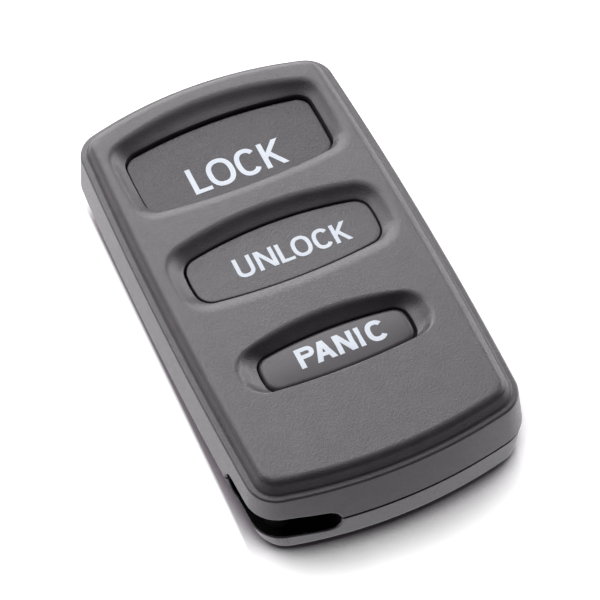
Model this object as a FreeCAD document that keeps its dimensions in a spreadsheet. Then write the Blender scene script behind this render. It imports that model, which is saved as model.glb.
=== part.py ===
"""A three-button key fob: two casing halves, hard keys, rubber key mat, board and coin cell.

X runs across the fob, Y towards the lock key's end, Z up from the flat back. All sizes are in
millimetres. The origin is the centre of the back.
"""

import FreeCAD, Part
import math
import os
from types import SimpleNamespace

import Sketcher

Vector = FreeCAD.Vector

# Driving sizes: name, millimetres, meaning
SIZES = [
    ("case_width", 35.0, "across the two sides at the parting line"),
    ("case_length", 62.0, "from the lock key's end to the ring end"),
    ("side_radius", 590.0, "bow of the two long sides"),
    ("lock_end_radius", 48.0, "bow of the end beside the lock key"),
    ("ring_end_radius", 60.0, "bow of the end beside the key ring"),
    ("corner_radius", 4.3, "rounding of the four corners in plan"),
    ("parting_height", 5.4, "where the two casing halves meet"),
    ("ledge_height", 11.1, "top of the narrow ledge around the face"),
    ("face_height", 12.7, "top of the raised face"),
    ("side_draft", 0.6, "how far the side wall leans in up to the ledge"),
    ("ledge_width", 0.75, "width of the ledge"),
    ("face_slope", 0.85, "how far the slope leans in from ledge to face"),
    ("face_edge_round", 0.5, "rounding of the face's edge"),
    ("ledge_edge_round", 0.3, "rounding of the ledge's outer edge"),
    ("slope_foot_round", 0.35, "hollow rounding at the foot of the slope"),
    ("rear_step", 0.25, "how far the rear half sits inside the front one at the parting"),
    ("rear_draft", 0.6, "how far the rear half's wall leans in down to the back"),
    ("rear_edge_round", 1.6, "rounding of the back's edge"),
    ("front_wall", 1.8, "side wall of the front half"),
    ("front_roof", 1.4, "thickness of the face"),
    ("root_depth", 0.3, "how far posts, bosses and ribs run into the wall they grow from"),
    ("shelf_width", 1.8, "width of the inner shelf under the ledge"),
    ("rear_floor", 1.4, "thickness of the back"),
    ("lip_thickness", 0.8, "locating lip on the rear half"),
    ("lip_height", 1.0, "how far the lip stands into the front half"),
    ("lip_clearance", 0.1, "gap outside the lip"),
    ("label_recess_width", 18.0, "bare recess in the back, across"),
    ("label_recess_length", 24.0, "bare recess in the back, along"),
    ("label_recess_depth", 0.3, "depth of the bare recess"),
    ("label_recess_pitch", 26.0, "from the lock end of the case to the recess's centre"),
    ("ring_pocket_radius", 10.9, "reach of the key ring pocket from the square corner"),
    ("ring_pocket_below", 1.7, "pocket depth below the parting line"),
    ("ring_pocket_above", 2.2, "pocket height above the parting line"),
    ("ring_pocket_round", 1.35, "rounding of the pocket's rim"),
    ("ring_wall", 1.3, "wall between the pocket and the inside"),
    ("ring_post_radius", 1.5, "post that the key ring goes round"),
    ("ring_post_across", 4.1, "post from the side of the case"),
    ("ring_post_along", 4.9, "post from the end of the case"),
    ("key_seat_height", 9.8, "underside of the face that the keys' flanges rest against"),
    ("key_clearance", 0.2, "gap around each key in its opening"),
    ("key_flange_width", 0.8, "how far a key's flange reaches out"),
    ("key_flange_thickness", 0.8, "thickness of a key's flange"),
    ("key_shell", 1.0, "side wall of a hollow key"),
    ("key_face_thickness", 1.3, "face of a hollow key"),
    ("key_edge_round", 0.2, "rounding of a key's top edge"),
    ("key_stem_radius", 1.5, "stem under a key"),
    ("well_skirt", 1.8, "wall that stands down around each opening"),
    ("well_bevel_width", 0.5, "soft edge where each well's slope meets the face, width"),
    ("well_bevel_depth", 0.15, "soft edge where each well's slope meets the face, depth"),
    ("lock_key_width", 23.9, "lock key across"),
    ("lock_key_length", 11.2, "lock key along"),
    ("lock_key_pitch", 12.7, "from the lock end of the case to the lock key's centre"),
    ("lock_key_top_bow", 55.15, "bow of the key's upper edge"),
    ("lock_key_low_bow", 64.15, "bow of the key's lower edge"),
    ("lock_key_side_bow", 90.15, "bow of the key's sides"),
    ("lock_key_corner", 1.85, "corner radius of the key"),
    ("lock_key_sink", 1.4, "key's top below the face"),
    ("lock_well_drop", 1.1, "opening's rim below the face"),
    ("lock_well_upper", 2.45, "width of the well's slope above the key"),
    ("lock_well_lower", 1.2, "width of the well's slope below the key"),
    ("lock_well_side", 1.55, "width of the well's slope at the sides"),
    ("lock_well_top_bow", 34.0, "bow of the well's upper edge"),
    ("lock_well_low_bow", 100.0, "bow of the well's lower edge"),
    ("lock_well_side_bow", 90.0, "bow of the well's sides"),
    ("lock_well_corner", 2.9, "corner radius of the well's rim"),
    ("unlock_key_width", 23.3, "unlock key across"),
    ("unlock_key_length", 8.5, "unlock key along"),
    ("unlock_key_pitch", 0.35, "unlock key's centre below the middle between the other two"),
    ("unlock_key_top_bow", 46.15, "bow of the key's upper edge"),
    ("unlock_key_low_bow", 67.15, "bow of the key's lower edge"),
    ("unlock_key_side_bow", 14.15, "bow of the key's sides"),
    ("unlock_key_corner", 2.05, "corner radius of the key"),
    ("unlock_key_sink", 1.4, "key's top below the face"),
    ("unlock_well_drop", 1.1, "opening's rim below the face"),
    ("unlock_well_upper", 1.85, "width of the well's slope above the key"),
    ("unlock_well_lower", 1.55, "width of the well's slope below the key"),
    ("unlock_well_side", 1.75, "width of the well's slope at the sides"),
    ("unlock_well_top_bow", 42.0, "bow of the well's upper edge"),
    ("unlock_well_low_bow", 82.0, "bow of the well's lower edge"),
    ("unlock_well_side_bow", 20.0, "bow of the well's sides"),
    ("unlock_well_corner", 3.6, "corner radius of the well's rim"),
    ("panic_key_width", 18.4, "panic key across"),
    ("panic_key_length", 6.1, "panic key along"),
    ("panic_key_pitch", 17.8, "from the ring end of the case to the panic key's centre"),
    ("panic_key_top_bow", 50.15, "bow of the key's upper edge"),
    ("panic_key_low_bow", 70.15, "bow of the key's lower edge"),
    ("panic_key_side_bow", 9.15, "bow of the key's sides"),
    ("panic_key_corner", 1.65, "corner radius of the key"),
    ("panic_key_sink", 1.0, "key's top below the face"),
    ("panic_well_drop", 1.3, "opening's rim below the face"),
    ("panic_well_upper", 1.6, "width of the well's slope above the key"),
    ("panic_well_lower", 0.6, "width of the well's slope below the key"),
    ("panic_well_side", 2.25, "width of the well's slope at the sides"),
    ("panic_well_top_bow", 32.5, "bow of the well's upper edge"),
    ("panic_well_low_bow", 77.0, "bow of the well's lower edge"),
    ("panic_well_side_bow", 14.0, "bow of the well's sides"),
    ("panic_well_corner", 3.3, "corner radius of the well's rim"),
    ("panic_crown_radius", 16.0, "crown across the panic key"),
    ("panic_edge_round", 0.6, "rounding of the panic key's top edge"),
    ("board_side_gap", 1.3, "room between the board and the rear half's side walls"),
    ("board_end_gap", 6.0, "board's upper end from the case's lock end"),
    ("board_ring_gap", 0.3, "room between the board's lower end and the ring pocket's wall"),
    ("board_thickness", 1.0, "circuit board thickness"),
    ("board_corner", 1.5, "corner radius of the board"),
    ("mat_thickness", 0.8, "key mat sheet"),
    ("mat_margin", 0.5, "board left bare outside the mat"),
    ("dome_gap", 0.35, "gap between a rubber dome and the switch's corners"),
    ("dome_crown_radius", 3.4, "top of a rubber dome"),
    ("dome_wall", 0.7, "wall of a rubber dome"),
    ("dome_roof", 0.8, "thickness of a rubber dome's top"),
    ("dome_clearance", 0.1, "gap around a dome's foot in the mat"),
    ("switch_side", 6.0, "push switch across"),
    ("switch_height", 2.2, "push switch body"),
    ("switch_base", 0.6, "floor of the push switch"),
    ("switch_cover", 0.5, "cover plate of the push switch"),
    ("switch_bore_radius", 2.3, "room inside the push switch"),
    ("plunger_radius", 1.6, "plunger's stem"),
    ("plunger_clearance", 0.05, "running gap around the plunger's stem"),
    ("plunger_stand", 0.4, "plunger above the switch body"),
    ("plunger_flange_radius", 2.1, "plunger's flange"),
    ("plunger_flange_thickness", 0.5, "plunger's flange, thickness"),
    ("snap_dome_radius", 2.2, "metal snap dome"),
    ("snap_dome_thickness", 0.1, "metal snap dome, thickness"),
    ("snap_dome_gap", 0.05, "gap between the snap dome and the plunger"),
    ("snap_dome_shoulder", 1.1, "radius where the metal snap dome turns flatter"),
    ("snap_dome_crown", 0.11, "rise of the metal snap dome above its shoulder"),
    ("cell_radius", 10.0, "coin cell"),
    ("cell_thickness", 1.6, "coin cell, thickness"),
    ("cell_cap_radius", 8.8, "raised cap of the coin cell"),
    ("cell_cap_height", 0.2, "how far the cap stands up"),
    ("cell_offset", 1.65, "cell's centre from the board's, towards the ring end"),
    ("cradle_clearance", 0.3, "gap around the cell"),
    ("cradle_wall", 1.1, "rib around the cell"),
    ("cradle_mouth", 9.0, "gap in the rib for the contacts"),
    ("contact_thickness", 0.2, "spring strip of the battery contacts"),
    ("contact_width", 5.0, "width of the battery contacts"),
    ("contact_foot", 2.0, "soldered foot of a contact"),
    ("contact_reach", 12.2, "contacts' risers from the cell's centre"),
    ("leaf_height", 1.2, "room for the leaf between cell and board"),
    ("post_radius", 1.2, "posts that clamp the board"),
    ("post_edge_inset", 1.2, "post centres in from the board's edge"),
    ("screw_across", 4.0, "case screw across"),
    ("screw_from_end", 7.0, "case screw from the ring end"),
    ("screw_radius", 1.0, "thread of the case screw"),
    ("screw_fit", 0.05, "gap between the screw's thread and its pilot hole"),
    ("screw_head_gap", 0.2, "gap around the screw's head and in the rear half"),
    ("screw_end_gap", 0.4, "pilot hole beyond the screw's tip"),
    ("screw_length", 7.0, "thread length of the case screw"),
    ("screw_head_radius", 1.9, "head of the case screw"),
    ("screw_head_height", 1.3, "head of the case screw, height"),
    ("screw_head_sink", 0.9, "head below the back"),
    ("screw_slot_width", 0.55, "cross recess of the screw, width"),
    ("screw_slot_length", 2.2, "cross recess of the screw, length"),
    ("screw_slot_depth", 0.7, "cross recess of the screw, depth"),
    ("boss_wall", 1.5, "wall around the screw"),
    ("chip_across", 7.5, "control chip, distance from the middle line"),
    ("chip_from_end", 6.5, "row of large components from the board's upper end"),
    ("chip_width", 3.9, "control chip across"),
    ("chip_length", 8.6, "control chip along"),
    ("chip_height", 1.45, "control chip, height"),
    ("chip_lead_pitch", 1.27, "spacing of the chip's leads"),
    ("chip_lead_width", 0.4, "width of a lead"),
    ("chip_lead_reach", 1.0, "how far a lead stands out"),
    ("chip_lead_thickness", 0.2, "thickness of a lead"),
    ("resonator_across", 6.5, "resonator, distance from the middle line"),
    ("resonator_radius", 4.0, "resonator can"),
    ("resonator_height", 2.3, "resonator can, height"),
    ("resonator_rim", 0.4, "flange of the resonator can, width"),
    ("resonator_rim_height", 0.5, "flange of the resonator can, height"),
    ("aerial_width", 0.8, "strip of the transmitting loop"),
    ("aerial_thickness", 0.5, "strip of the transmitting loop, thickness"),
    ("aerial_margin", 0.7, "loop in from the board's edge"),
    ("aerial_length", 12.0, "length of the loop's legs"),
    ("small_row_inset", 1.9, "row of small components in from the board's end"),
    ("small_pitch", 2.2, "spacing of the small components"),
    ("small_width", 0.9, "small component across"),
    ("small_length", 1.7, "small component along"),
    ("small_height", 0.7, "small component, height"),
]
SMALL_COUNT = 4
CHIP_LEADS = 6
# How near two heights, and a point and an outline, must lie to count as the same
LEVEL_TOLERANCE = 1e-4
OUTLINE_TOLERANCE = 0.02

doc = FreeCAD.newDocument("key_fob")
sheet = doc.addObject("Spreadsheet::Sheet", "Sizes")


class Dim:
    """A length that knows its number and the sheet expression that gives it."""

    def __init__(self, value, text):
        self.value = value
        self.text = text

    def __add__(self, other):
        return Dim(self.value + number(other), f"({self.text} + {words(other)})")

    __radd__ = __add__

    def __sub__(self, other):
        return Dim(self.value - number(other), f"({self.text} - {words(other)})")

    def __rsub__(self, other):
        return Dim(number(other) - self.value, f"({words(other)} - {self.text})")

    def __mul__(self, other):
        return Dim(self.value * number(other), f"({self.text} * {words(other)})")

    __rmul__ = __mul__

    def __truediv__(self, other):
        return Dim(self.value / number(other), f"({self.text} / {words(other)})")

    def __neg__(self):
        return Dim(-self.value, f"(-1 * {self.text})")


def number(length):
    """The plain number of a Dim or a number."""
    return length.value if isinstance(length, Dim) else float(length)


def words(length):
    """The sheet expression of a Dim or a number."""
    return length.text if isinstance(length, Dim) else repr(float(length))


def fill_sheet():
    """Write the driving sizes to the sheet and return them by name."""
    sizes = SimpleNamespace()
    for row, (alias, value, meaning) in enumerate(SIZES, start=1):
        sheet.set(f"A{row}", str(value))
        sheet.setAlias(f"A{row}", alias)
        sheet.set(f"B{row}", meaning)
    doc.recompute()
    for alias, _, _ in SIZES:
        setattr(sizes, alias, Dim(float(getattr(sheet, alias)), f"Sizes.{alias}"))
    return sizes


s = fill_sheet()

# Heights and places that several pieces share
front_cavity_inset = s.front_wall
upper_cavity_inset = s.front_wall + s.shelf_width
upper_cavity_top = s.face_height - s.front_roof
lip_outer_inset = s.front_wall + s.lip_clearance
rear_cavity_inset = lip_outer_inset + s.lip_thickness
cell_bottom = s.rear_floor + s.contact_thickness
cell_top = cell_bottom + s.cell_thickness
board_bottom = cell_top + s.leaf_height
board_top = board_bottom + s.board_thickness
mat_top = board_top + s.mat_thickness
switch_top = board_top + s.switch_height
plunger_top = switch_top + s.plunger_stand
dome_top = plunger_top + s.dome_roof
dome_foot_radius = s.switch_side * math.sqrt(0.5) + s.dome_gap + s.dome_wall
flange_bottom = s.key_seat_height - s.key_flange_thickness
pocket_floor = s.parting_height - s.ring_pocket_below
pocket_roof = s.parting_height + s.ring_pocket_above
screw_place = (s.screw_across, s.screw_from_end - s.case_length / 2)
screw_head_bottom = s.screw_head_sink
screw_head_top = s.screw_head_sink + s.screw_head_height
screw_tip = screw_head_top + s.screw_length
boss_radius = s.screw_radius + s.boss_wall
square_corner = (s.case_width / -2, s.case_length / -2)
ring_post_place = (square_corner[0] + s.ring_post_across, square_corner[1] + s.ring_post_along)
board_width = s.case_width - (rear_cavity_inset + s.board_side_gap) * 2
board_low_end = square_corner[1] + s.ring_pocket_radius + s.ring_wall + s.board_ring_gap
board_high_end = s.case_length / 2 - s.board_end_gap
board_length = board_high_end - board_low_end
board_place = (board_high_end + board_low_end) / 2
cell_place = board_place - s.cell_offset
chip_along = board_high_end - s.chip_from_end
post_across = board_width / 2 - s.post_edge_inset

nodes = {}


def key_sizes(name, along):
    """The sizes of one key and its well, by short names, with the key's place along the fob."""
    keys = ("width", "length", "top_bow", "low_bow", "side_bow", "corner", "sink")
    wells = ("drop", "upper", "lower", "side", "top_bow", "low_bow", "side_bow", "corner")
    found = {word: getattr(s, f"{name}_key_{word}") for word in keys}
    found.update({f"well_{word}": getattr(s, f"{name}_well_{word}") for word in wells})
    return SimpleNamespace(name=name, place=along, **found)


lock_place = s.case_length / 2 - s.lock_key_pitch
panic_place = square_corner[1] + s.panic_key_pitch
unlock_place = (lock_place + panic_place) / 2 - s.unlock_key_pitch
KEYS = [key_sizes("lock", lock_place), key_sizes("unlock", unlock_place),
        key_sizes("panic", panic_place)]


def bind(item, **properties):
    """Bind properties of an object to sheet expressions."""
    for name, length in properties.items():
        item.setExpression(name, words(length))
    return item


def place(item, across=0.0, along=0.0, height=0.0):
    """Bind the position of an object."""
    for letter, length in zip("xyz", (across, along, height)):
        item.setExpression(f"Placement.Base.{letter}", words(length))
    return item


def box(name, width, length, height, centre, base):
    """A box centred in plan on a point, standing on a height."""
    item = bind(doc.addObject("Part::Box", name), Length=width, Width=length, Height=height)
    return place(item, centre[0] - width / 2, centre[1] - length / 2, base)


def cylinder(name, radius, height, centre, base):
    """An upright cylinder on a point, standing on a height."""
    item = bind(doc.addObject("Part::Cylinder", name), Radius=radius, Height=height)
    return place(item, centre[0], centre[1], base)


def feature(name, shape):
    """An object that holds a shape worked out from the sheet."""
    item = doc.addObject("Part::Feature", name)
    item.Shape = shape
    return item


def fuse(name, *items):
    """Join objects that overlap or share a face."""
    item = doc.addObject("Part::MultiFuse", name)
    item.Shapes = list(items)
    item.Refine = True
    return item


def cut(name, base, *tools):
    """Cut one or more tools from an object."""
    item = doc.addObject("Part::Cut", name)
    item.Base = base
    item.Tool = tools[0] if len(tools) == 1 else fuse(f"{name}_tools", *tools)
    item.Refine = True
    return item


def node(name, item):
    """Name an object as one sub-part of the fob."""
    item.Label = name
    nodes[name] = item
    return item


def circles_meet(first, first_radius, second, second_radius, toward):
    """The point where two circles meet that lies on the side of a given point."""
    gap = second - first
    distance = gap.Length
    along = (first_radius ** 2 - second_radius ** 2 + distance ** 2) / (2 * distance)
    aside = math.sqrt(first_radius ** 2 - along ** 2)
    direction = gap / distance
    foot = first + direction * along
    side = Vector(-direction.y, direction.x, 0) * aside
    return min((foot + side, foot - side), key=lambda point: (point - toward).Length)


def bowed_outline(half_width, low, high, side_bow, low_bow, high_bow, corner, inset, height):
    """A closed wire of four bowed edges and four round corners, moved in by an inset.

    Each edge is an arc about its own centre and each corner a smaller arc that is tangent to
    two of them, so moving the outline in changes the radii alone.
    """
    middle = (low + high) / 2
    arcs = [
        (Vector(half_width - side_bow, middle, 0), side_bow),
        (Vector(0, high - high_bow, 0), high_bow),
        (Vector(side_bow - half_width, middle, 0), side_bow),
        (Vector(0, low + low_bow, 0), low_bow),
    ]
    squares = [(half_width, high), (-half_width, high), (-half_width, low), (half_width, low)]
    corners = []
    for index, (across, along) in enumerate(squares):
        here, here_radius = arcs[index]
        there, there_radius = arcs[(index + 1) % 4]
        centre = circles_meet(here, here_radius - corner, there, there_radius - corner,
                              Vector(across, along, 0))
        start = here + (centre - here).normalize() * (here_radius - inset)
        end = there + (centre - there).normalize() * (there_radius - inset)
        corners.append((centre, start, end))
    lift = Vector(0, 0, height)
    edges = []
    for index, (centre, start, end) in enumerate(corners):
        bow_centre, bow_radius = arcs[index]
        before = corners[index - 1][2]
        middle_way = ((before - bow_centre) + (start - bow_centre)).normalize()
        bow_middle = bow_centre + middle_way * (bow_radius - inset)
        edges.append(Part.Arc(before + lift, bow_middle + lift, start + lift).toShape())
        bend = ((start - centre) + (end - centre)).normalize() * (corner - inset)
        edges.append(Part.Arc(start + lift, centre + bend + lift, end + lift).toShape())
    return Part.Wire(edges)


def case_outline(inset, height):
    """The casing's outline in plan, moved in by an inset, at a height."""
    return bowed_outline(number(s.case_width) / 2, number(s.case_length) / -2,
                         number(s.case_length) / 2, number(s.side_radius),
                         number(s.ring_end_radius), number(s.lock_end_radius),
                         number(s.corner_radius), number(inset), number(height))


def key_outline(key, height, spread=0.0):
    """A key's outline, grown evenly by a spread."""
    return bowed_outline(number(key.width) / 2, number(key.place - key.length / 2),
                         number(key.place + key.length / 2), number(key.side_bow),
                         number(key.low_bow), number(key.top_bow), number(key.corner),
                         -number(spread), number(height))


def well_outline(key, height, spread=0.0):
    """The rim of a key's well in the face, wider than the opening by its slope on each edge."""
    gap = s.key_clearance
    return bowed_outline(number(key.width / 2 + gap + key.well_side),
                         number(key.place - key.length / 2 - gap - key.well_lower),
                         number(key.place + key.length / 2 + gap + key.well_upper),
                         number(key.well_side_bow), number(key.well_low_bow),
                         number(key.well_top_bow), number(key.well_corner), -number(spread),
                         number(height))


def ruled(*wires):
    """The solid between like outlines at rising heights."""
    return Part.makeLoft(list(wires), True, True)


def upright(wire_at, base, top):
    """The solid that an outline sweeps from a base height to a top height."""
    rise = number(top) - number(base)
    return Part.Face(wire_at(base)).extrude(Vector(0, 0, rise))


def edges_at(shape, height, keep):
    """The level edges of a shape at a height whose middle passes a test."""
    found = []
    for edge in shape.Edges:
        bounds = edge.BoundBox
        flat = bounds.ZLength < LEVEL_TOLERANCE
        level = abs(bounds.ZMin - number(height)) < LEVEL_TOLERANCE
        middle = edge.valueAt((edge.FirstParameter + edge.LastParameter) / 2)
        if flat and level and keep(middle):
            found.append(edge)
    return found


def on_case_outline(inset):
    """A test of whether a point lies on the casing's outline at an inset."""
    wire = case_outline(inset, 0.0)

    def near(point):
        return wire.distToShape(Part.Vertex(point.x, point.y, 0))[0] < OUTLINE_TOLERANCE
    return near


def front_blank():
    """The front half's outside: leaning side wall, ledge, slope and raised face."""
    ledge_inset = s.side_draft + s.ledge_width
    face_inset = ledge_inset + s.face_slope
    lower = ruled(case_outline(0.0, s.parting_height), case_outline(s.side_draft, s.ledge_height))
    upper = ruled(case_outline(ledge_inset, s.ledge_height),
                  case_outline(face_inset, s.face_height))
    shape = lower.fuse(upper)
    rounds = ((s.face_height, face_inset, s.face_edge_round),
              (s.ledge_height, ledge_inset, s.slope_foot_round),
              (s.ledge_height, s.side_draft, s.ledge_edge_round))
    for height, inset, radius in rounds:
        shape = shape.makeFillet(number(radius), edges_at(shape, height, on_case_outline(inset)))
    return feature("front_blank", shape)


def ring_pocket_shape():
    """The key ring's pocket: a flat disc with a round rim about the casing's square corner."""
    height = number(pocket_roof - pocket_floor)
    disc = Part.makeCylinder(number(s.ring_pocket_radius), height,
                             Vector(number(square_corner[0]), number(square_corner[1]),
                                    number(pocket_floor)))
    rims = [edge for edge in disc.Edges if edge.BoundBox.ZLength < LEVEL_TOLERANCE]
    return disc.makeFillet(number(s.ring_pocket_round), rims)


def corner_block(name, base, top, clearance=0.0):
    """The corner that stays solid around the key ring's pocket."""
    return cylinder(name, s.ring_pocket_radius + s.ring_wall + clearance, top - base,
                    square_corner, base)


def post_rows():
    """The two places along the fob between the keys, where posts clear the flanges."""
    rows = []
    for upper_key, lower_key in zip(KEYS, KEYS[1:]):
        top = upper_key.place - upper_key.length / 2
        bottom = lower_key.place + lower_key.length / 2
        rows.append((top + bottom) / 2)
    return rows


def board_posts(prefix, base, top):
    """Four posts against the board, two between each pair of keys."""
    posts = []
    for row, along in enumerate(post_rows()):
        for side, across in (("left", -post_across), ("right", post_across)):
            posts.append(cylinder(f"{prefix}_post_{side}_{row}", s.post_radius, top - base,
                                  (across, along), base))
    return posts


def front_cover():
    """Front casing half: face with three wells, inner shelf, posts and screw boss."""
    lower_room = feature("front_lower_room", upright(
        lambda z: case_outline(front_cavity_inset, z), s.parting_height, s.key_seat_height))
    upper_room = feature("front_upper_room", upright(
        lambda z: case_outline(upper_cavity_inset, z), s.key_seat_height, upper_cavity_top))
    skirts = []
    tools = []
    for key in KEYS:
        rim = s.face_height - key.well_drop
        skirts.append(feature(f"{key.name}_skirt", upright(
            lambda z: key_outline(key, z, s.key_clearance + s.well_skirt),
            s.key_seat_height, upper_cavity_top)))
        bevel = s.well_bevel_width / 2
        tools.append(feature(f"{key.name}_well", ruled(
            key_outline(key, rim, s.key_clearance),
            well_outline(key, s.face_height - s.well_bevel_depth, -bevel),
            well_outline(key, s.face_height, bevel))))
        tools.append(feature(f"{key.name}_opening", upright(
            lambda z: key_outline(key, z, s.key_clearance), s.key_seat_height, rim)))
    room = cut("front_room", fuse("front_rooms", lower_room, upper_room),
               corner_block("front_corner", s.parting_height, upper_cavity_top), *skirts)
    shell = cut("front_shell", front_blank(), room, feature("front_pocket", ring_pocket_shape()),
                *tools)
    root = upper_cavity_top + s.root_depth
    posts = board_posts("front", mat_top, root)
    boss = cylinder("front_boss", boss_radius, root - s.parting_height, screw_place,
                    s.parting_height)
    pilot = cylinder("front_pilot", s.screw_radius + s.screw_fit,
                     screw_tip + s.screw_end_gap - s.parting_height, screw_place,
                     s.parting_height)
    return node("front_cover", cut("front_half", fuse("front_body", shell, boss, *posts), pilot))


def rear_blank():
    """The rear half's outside: leaning wall down to a flat back with a round edge."""
    shape = ruled(case_outline(s.rear_step + s.rear_draft, 0.0),
                  case_outline(s.rear_step, s.parting_height))
    back_edge = edges_at(shape, 0.0, lambda point: True)
    return feature("rear_blank", shape.makeFillet(number(s.rear_edge_round), back_edge))


def rear_cover():
    """Rear casing half: tray with locating lip, cell cradle, board posts and ring post."""
    room = cut("rear_room", feature("rear_room_blank", upright(
        lambda z: case_outline(rear_cavity_inset, z), s.rear_floor, s.parting_height)),
        corner_block("rear_corner", s.rear_floor, s.parting_height))
    lip_base = s.parting_height - s.lip_height
    lip_top = s.parting_height + s.lip_height
    lip = cut("rear_lip", feature("lip_outside", upright(
        lambda z: case_outline(lip_outer_inset, z), lip_base, lip_top)),
        feature("lip_inside", upright(
            lambda z: case_outline(rear_cavity_inset, z), lip_base, lip_top)),
        corner_block("lip_corner", lip_base, lip_top, s.lip_clearance))
    tray = cut("rear_tray", rear_blank(), room, feature("rear_pocket", ring_pocket_shape()),
               box("label_recess", s.label_recess_width, s.label_recess_length,
                   s.label_recess_depth, (0.0, s.case_length / 2 - s.label_recess_pitch), 0.0))
    cell_centre = (0.0, cell_place)
    cradle_inner = s.cell_radius + s.cradle_clearance
    cradle_outer = cradle_inner + s.cradle_wall
    cradle_base = s.rear_floor - s.root_depth
    cradle_height = cell_top - cradle_base
    cradle = cut("cradle",
                 cylinder("cradle_outside", cradle_outer, cradle_height, cell_centre,
                          cradle_base),
                 cylinder("cradle_inside", cradle_inner, cradle_height, cell_centre,
                          cradle_base),
                 box("cradle_mouths", s.cradle_mouth, cradle_outer * 2, cradle_height,
                     cell_centre, cradle_base))
    posts = board_posts("rear", s.rear_floor, board_bottom)
    boss_base = s.rear_floor - s.root_depth
    boss = cylinder("rear_boss", s.screw_head_radius + s.boss_wall,
                    s.parting_height - boss_base, screw_place, boss_base)
    ring_post = cylinder("ring_post", s.ring_post_radius, pocket_roof - pocket_floor,
                         ring_post_place, pocket_floor)
    head_hole = cylinder("screw_head_hole", s.screw_head_radius + s.screw_head_gap,
                         screw_head_top, screw_place, 0.0)
    through = cylinder("screw_through_hole", s.screw_radius + s.screw_head_gap, s.screw_length,
                       screw_place, screw_head_top)
    body = fuse("rear_body", tray, lip, cradle, boss, ring_post, *posts)
    return node("rear_cover", cut("rear_half", body, head_hole, through))


def hard_key(key):
    """A hollow hard key with a flange that holds it under the face and a stem beneath."""
    key_top = s.face_height - key.sink
    cap = upright(lambda z: key_outline(key, z), flange_bottom, key_top)
    crowned = key.name == "panic"
    edge_round = s.panic_edge_round if crowned else s.key_edge_round
    cap = cap.makeFillet(number(edge_round), edges_at(cap, key_top, lambda point: True))
    if crowned:
        start = Vector(-number(key.width), number(key.place),
                       number(key_top - s.panic_crown_radius))
        cap = cap.common(Part.makeCylinder(number(s.panic_crown_radius), number(key.width) * 2,
                                           start, Vector(1, 0, 0)))
    rounded = feature(f"{key.name}_cap", cap)
    flange = feature(f"{key.name}_flange", upright(
        lambda z: key_outline(key, z, s.key_flange_width), flange_bottom, s.key_seat_height))
    hollow_top = key_top - s.key_face_thickness
    hollow = feature(f"{key.name}_hollow", upright(
        lambda z: key_outline(key, z, -s.key_shell), flange_bottom, hollow_top))
    stem = cylinder(f"{key.name}_stem", s.key_stem_radius,
                    hollow_top + s.root_depth - dome_top, (0.0, key.place), dome_top)
    shell = cut(f"{key.name}_shell", fuse(f"{key.name}_solid", rounded, flange), hollow)
    return node(f"{key.name}_key", fuse(f"{key.name}_joined", shell, stem))


def body_sketch(body, name, plane, points):
    """A closed polygon sketch on one of a body's own planes, each point bound to the sheet."""
    sketch = body.newObject("Sketcher::SketchObject", name)
    support = next(item for item in body.Origin.OriginFeatures if item.Role == plane)
    sketch.AttachmentSupport = (support, [""])
    sketch.MapMode = "FlatFace"
    corners = [Vector(number(across), number(up), 0) for across, up in points]
    count = len(corners)
    for index in range(count):
        sketch.addGeometry(Part.LineSegment(corners[index], corners[(index + 1) % count]))
    for index in range(count):
        sketch.addConstraint(Sketcher.Constraint("Coincident", index, 2, (index + 1) % count, 1))
    for index, point in enumerate(points):
        for kind, axis, length in (("DistanceX", -2, point[0]), ("DistanceY", -1, point[1])):
            if number(length) == 0:
                sketch.addConstraint(Sketcher.Constraint("PointOnObject", index, 1, axis))
                continue
            made = sketch.addConstraint(
                Sketcher.Constraint(kind, -1, 1, index, 1, number(length)))
            sketch.setExpression(f"Constraints[{made}]", words(length))
    return sketch


def turned(name, points, centre=(0.0, 0.0), base=0.0):
    """A body turned about its own upright axis from a half section of radius and height."""
    body = doc.addObject("PartDesign::Body", f"{name}_body")
    sketch = body_sketch(body, f"{name}_section", "XZ_Plane", points)
    turn = body.newObject("PartDesign::Revolution", f"{name}_turn")
    turn.Profile = sketch
    turn.ReferenceAxis = (sketch, ["V_Axis"])
    turn.Angle = 360
    return place(body, centre[0], centre[1], base)


def strip(name, points, width, centre=(0.0, 0.0), base=0.0):
    """A body padded evenly to both sides from a section drawn along the fob."""
    body = doc.addObject("PartDesign::Body", f"{name}_body")
    sketch = body_sketch(body, f"{name}_section", "YZ_Plane", points)
    pad = body.newObject("PartDesign::Pad", f"{name}_pad")
    pad.Profile = sketch
    pad.Midplane = True
    bind(pad, Length=width)
    return place(body, centre[0], centre[1], base)


def plate(name, width, length, thickness, corner, centre, base):
    """A flat plate with round corners, as a body."""
    body = doc.addObject("PartDesign::Body", f"{name}_body")
    right = width / 2
    high = length / 2
    points = [(-right, -high), (right, -high), (right, high), (-right, high)]
    pad = body.newObject("PartDesign::Pad", f"{name}_pad")
    pad.Profile = body_sketch(body, f"{name}_outline", "XY_Plane", points)
    bind(pad, Length=thickness)
    doc.recompute()
    uprights = [f"Edge{index}" for index, edge in enumerate(pad.Shape.Edges, start=1)
                if abs(edge.BoundBox.ZLength - number(thickness)) < LEVEL_TOLERANCE]
    fillet = body.newObject("PartDesign::Fillet", f"{name}_corners")
    fillet.Base = (pad, uprights)
    bind(fillet, Radius=corner)
    return place(body, centre[0], centre[1], base)


def circuit_board():
    """The board that carries the switches, the contacts and the transmitter."""
    return node("circuit_board", plate("board", board_width, board_length,
                                       s.board_thickness, s.board_corner,
                                       (0.0, board_place), board_bottom))


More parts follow.
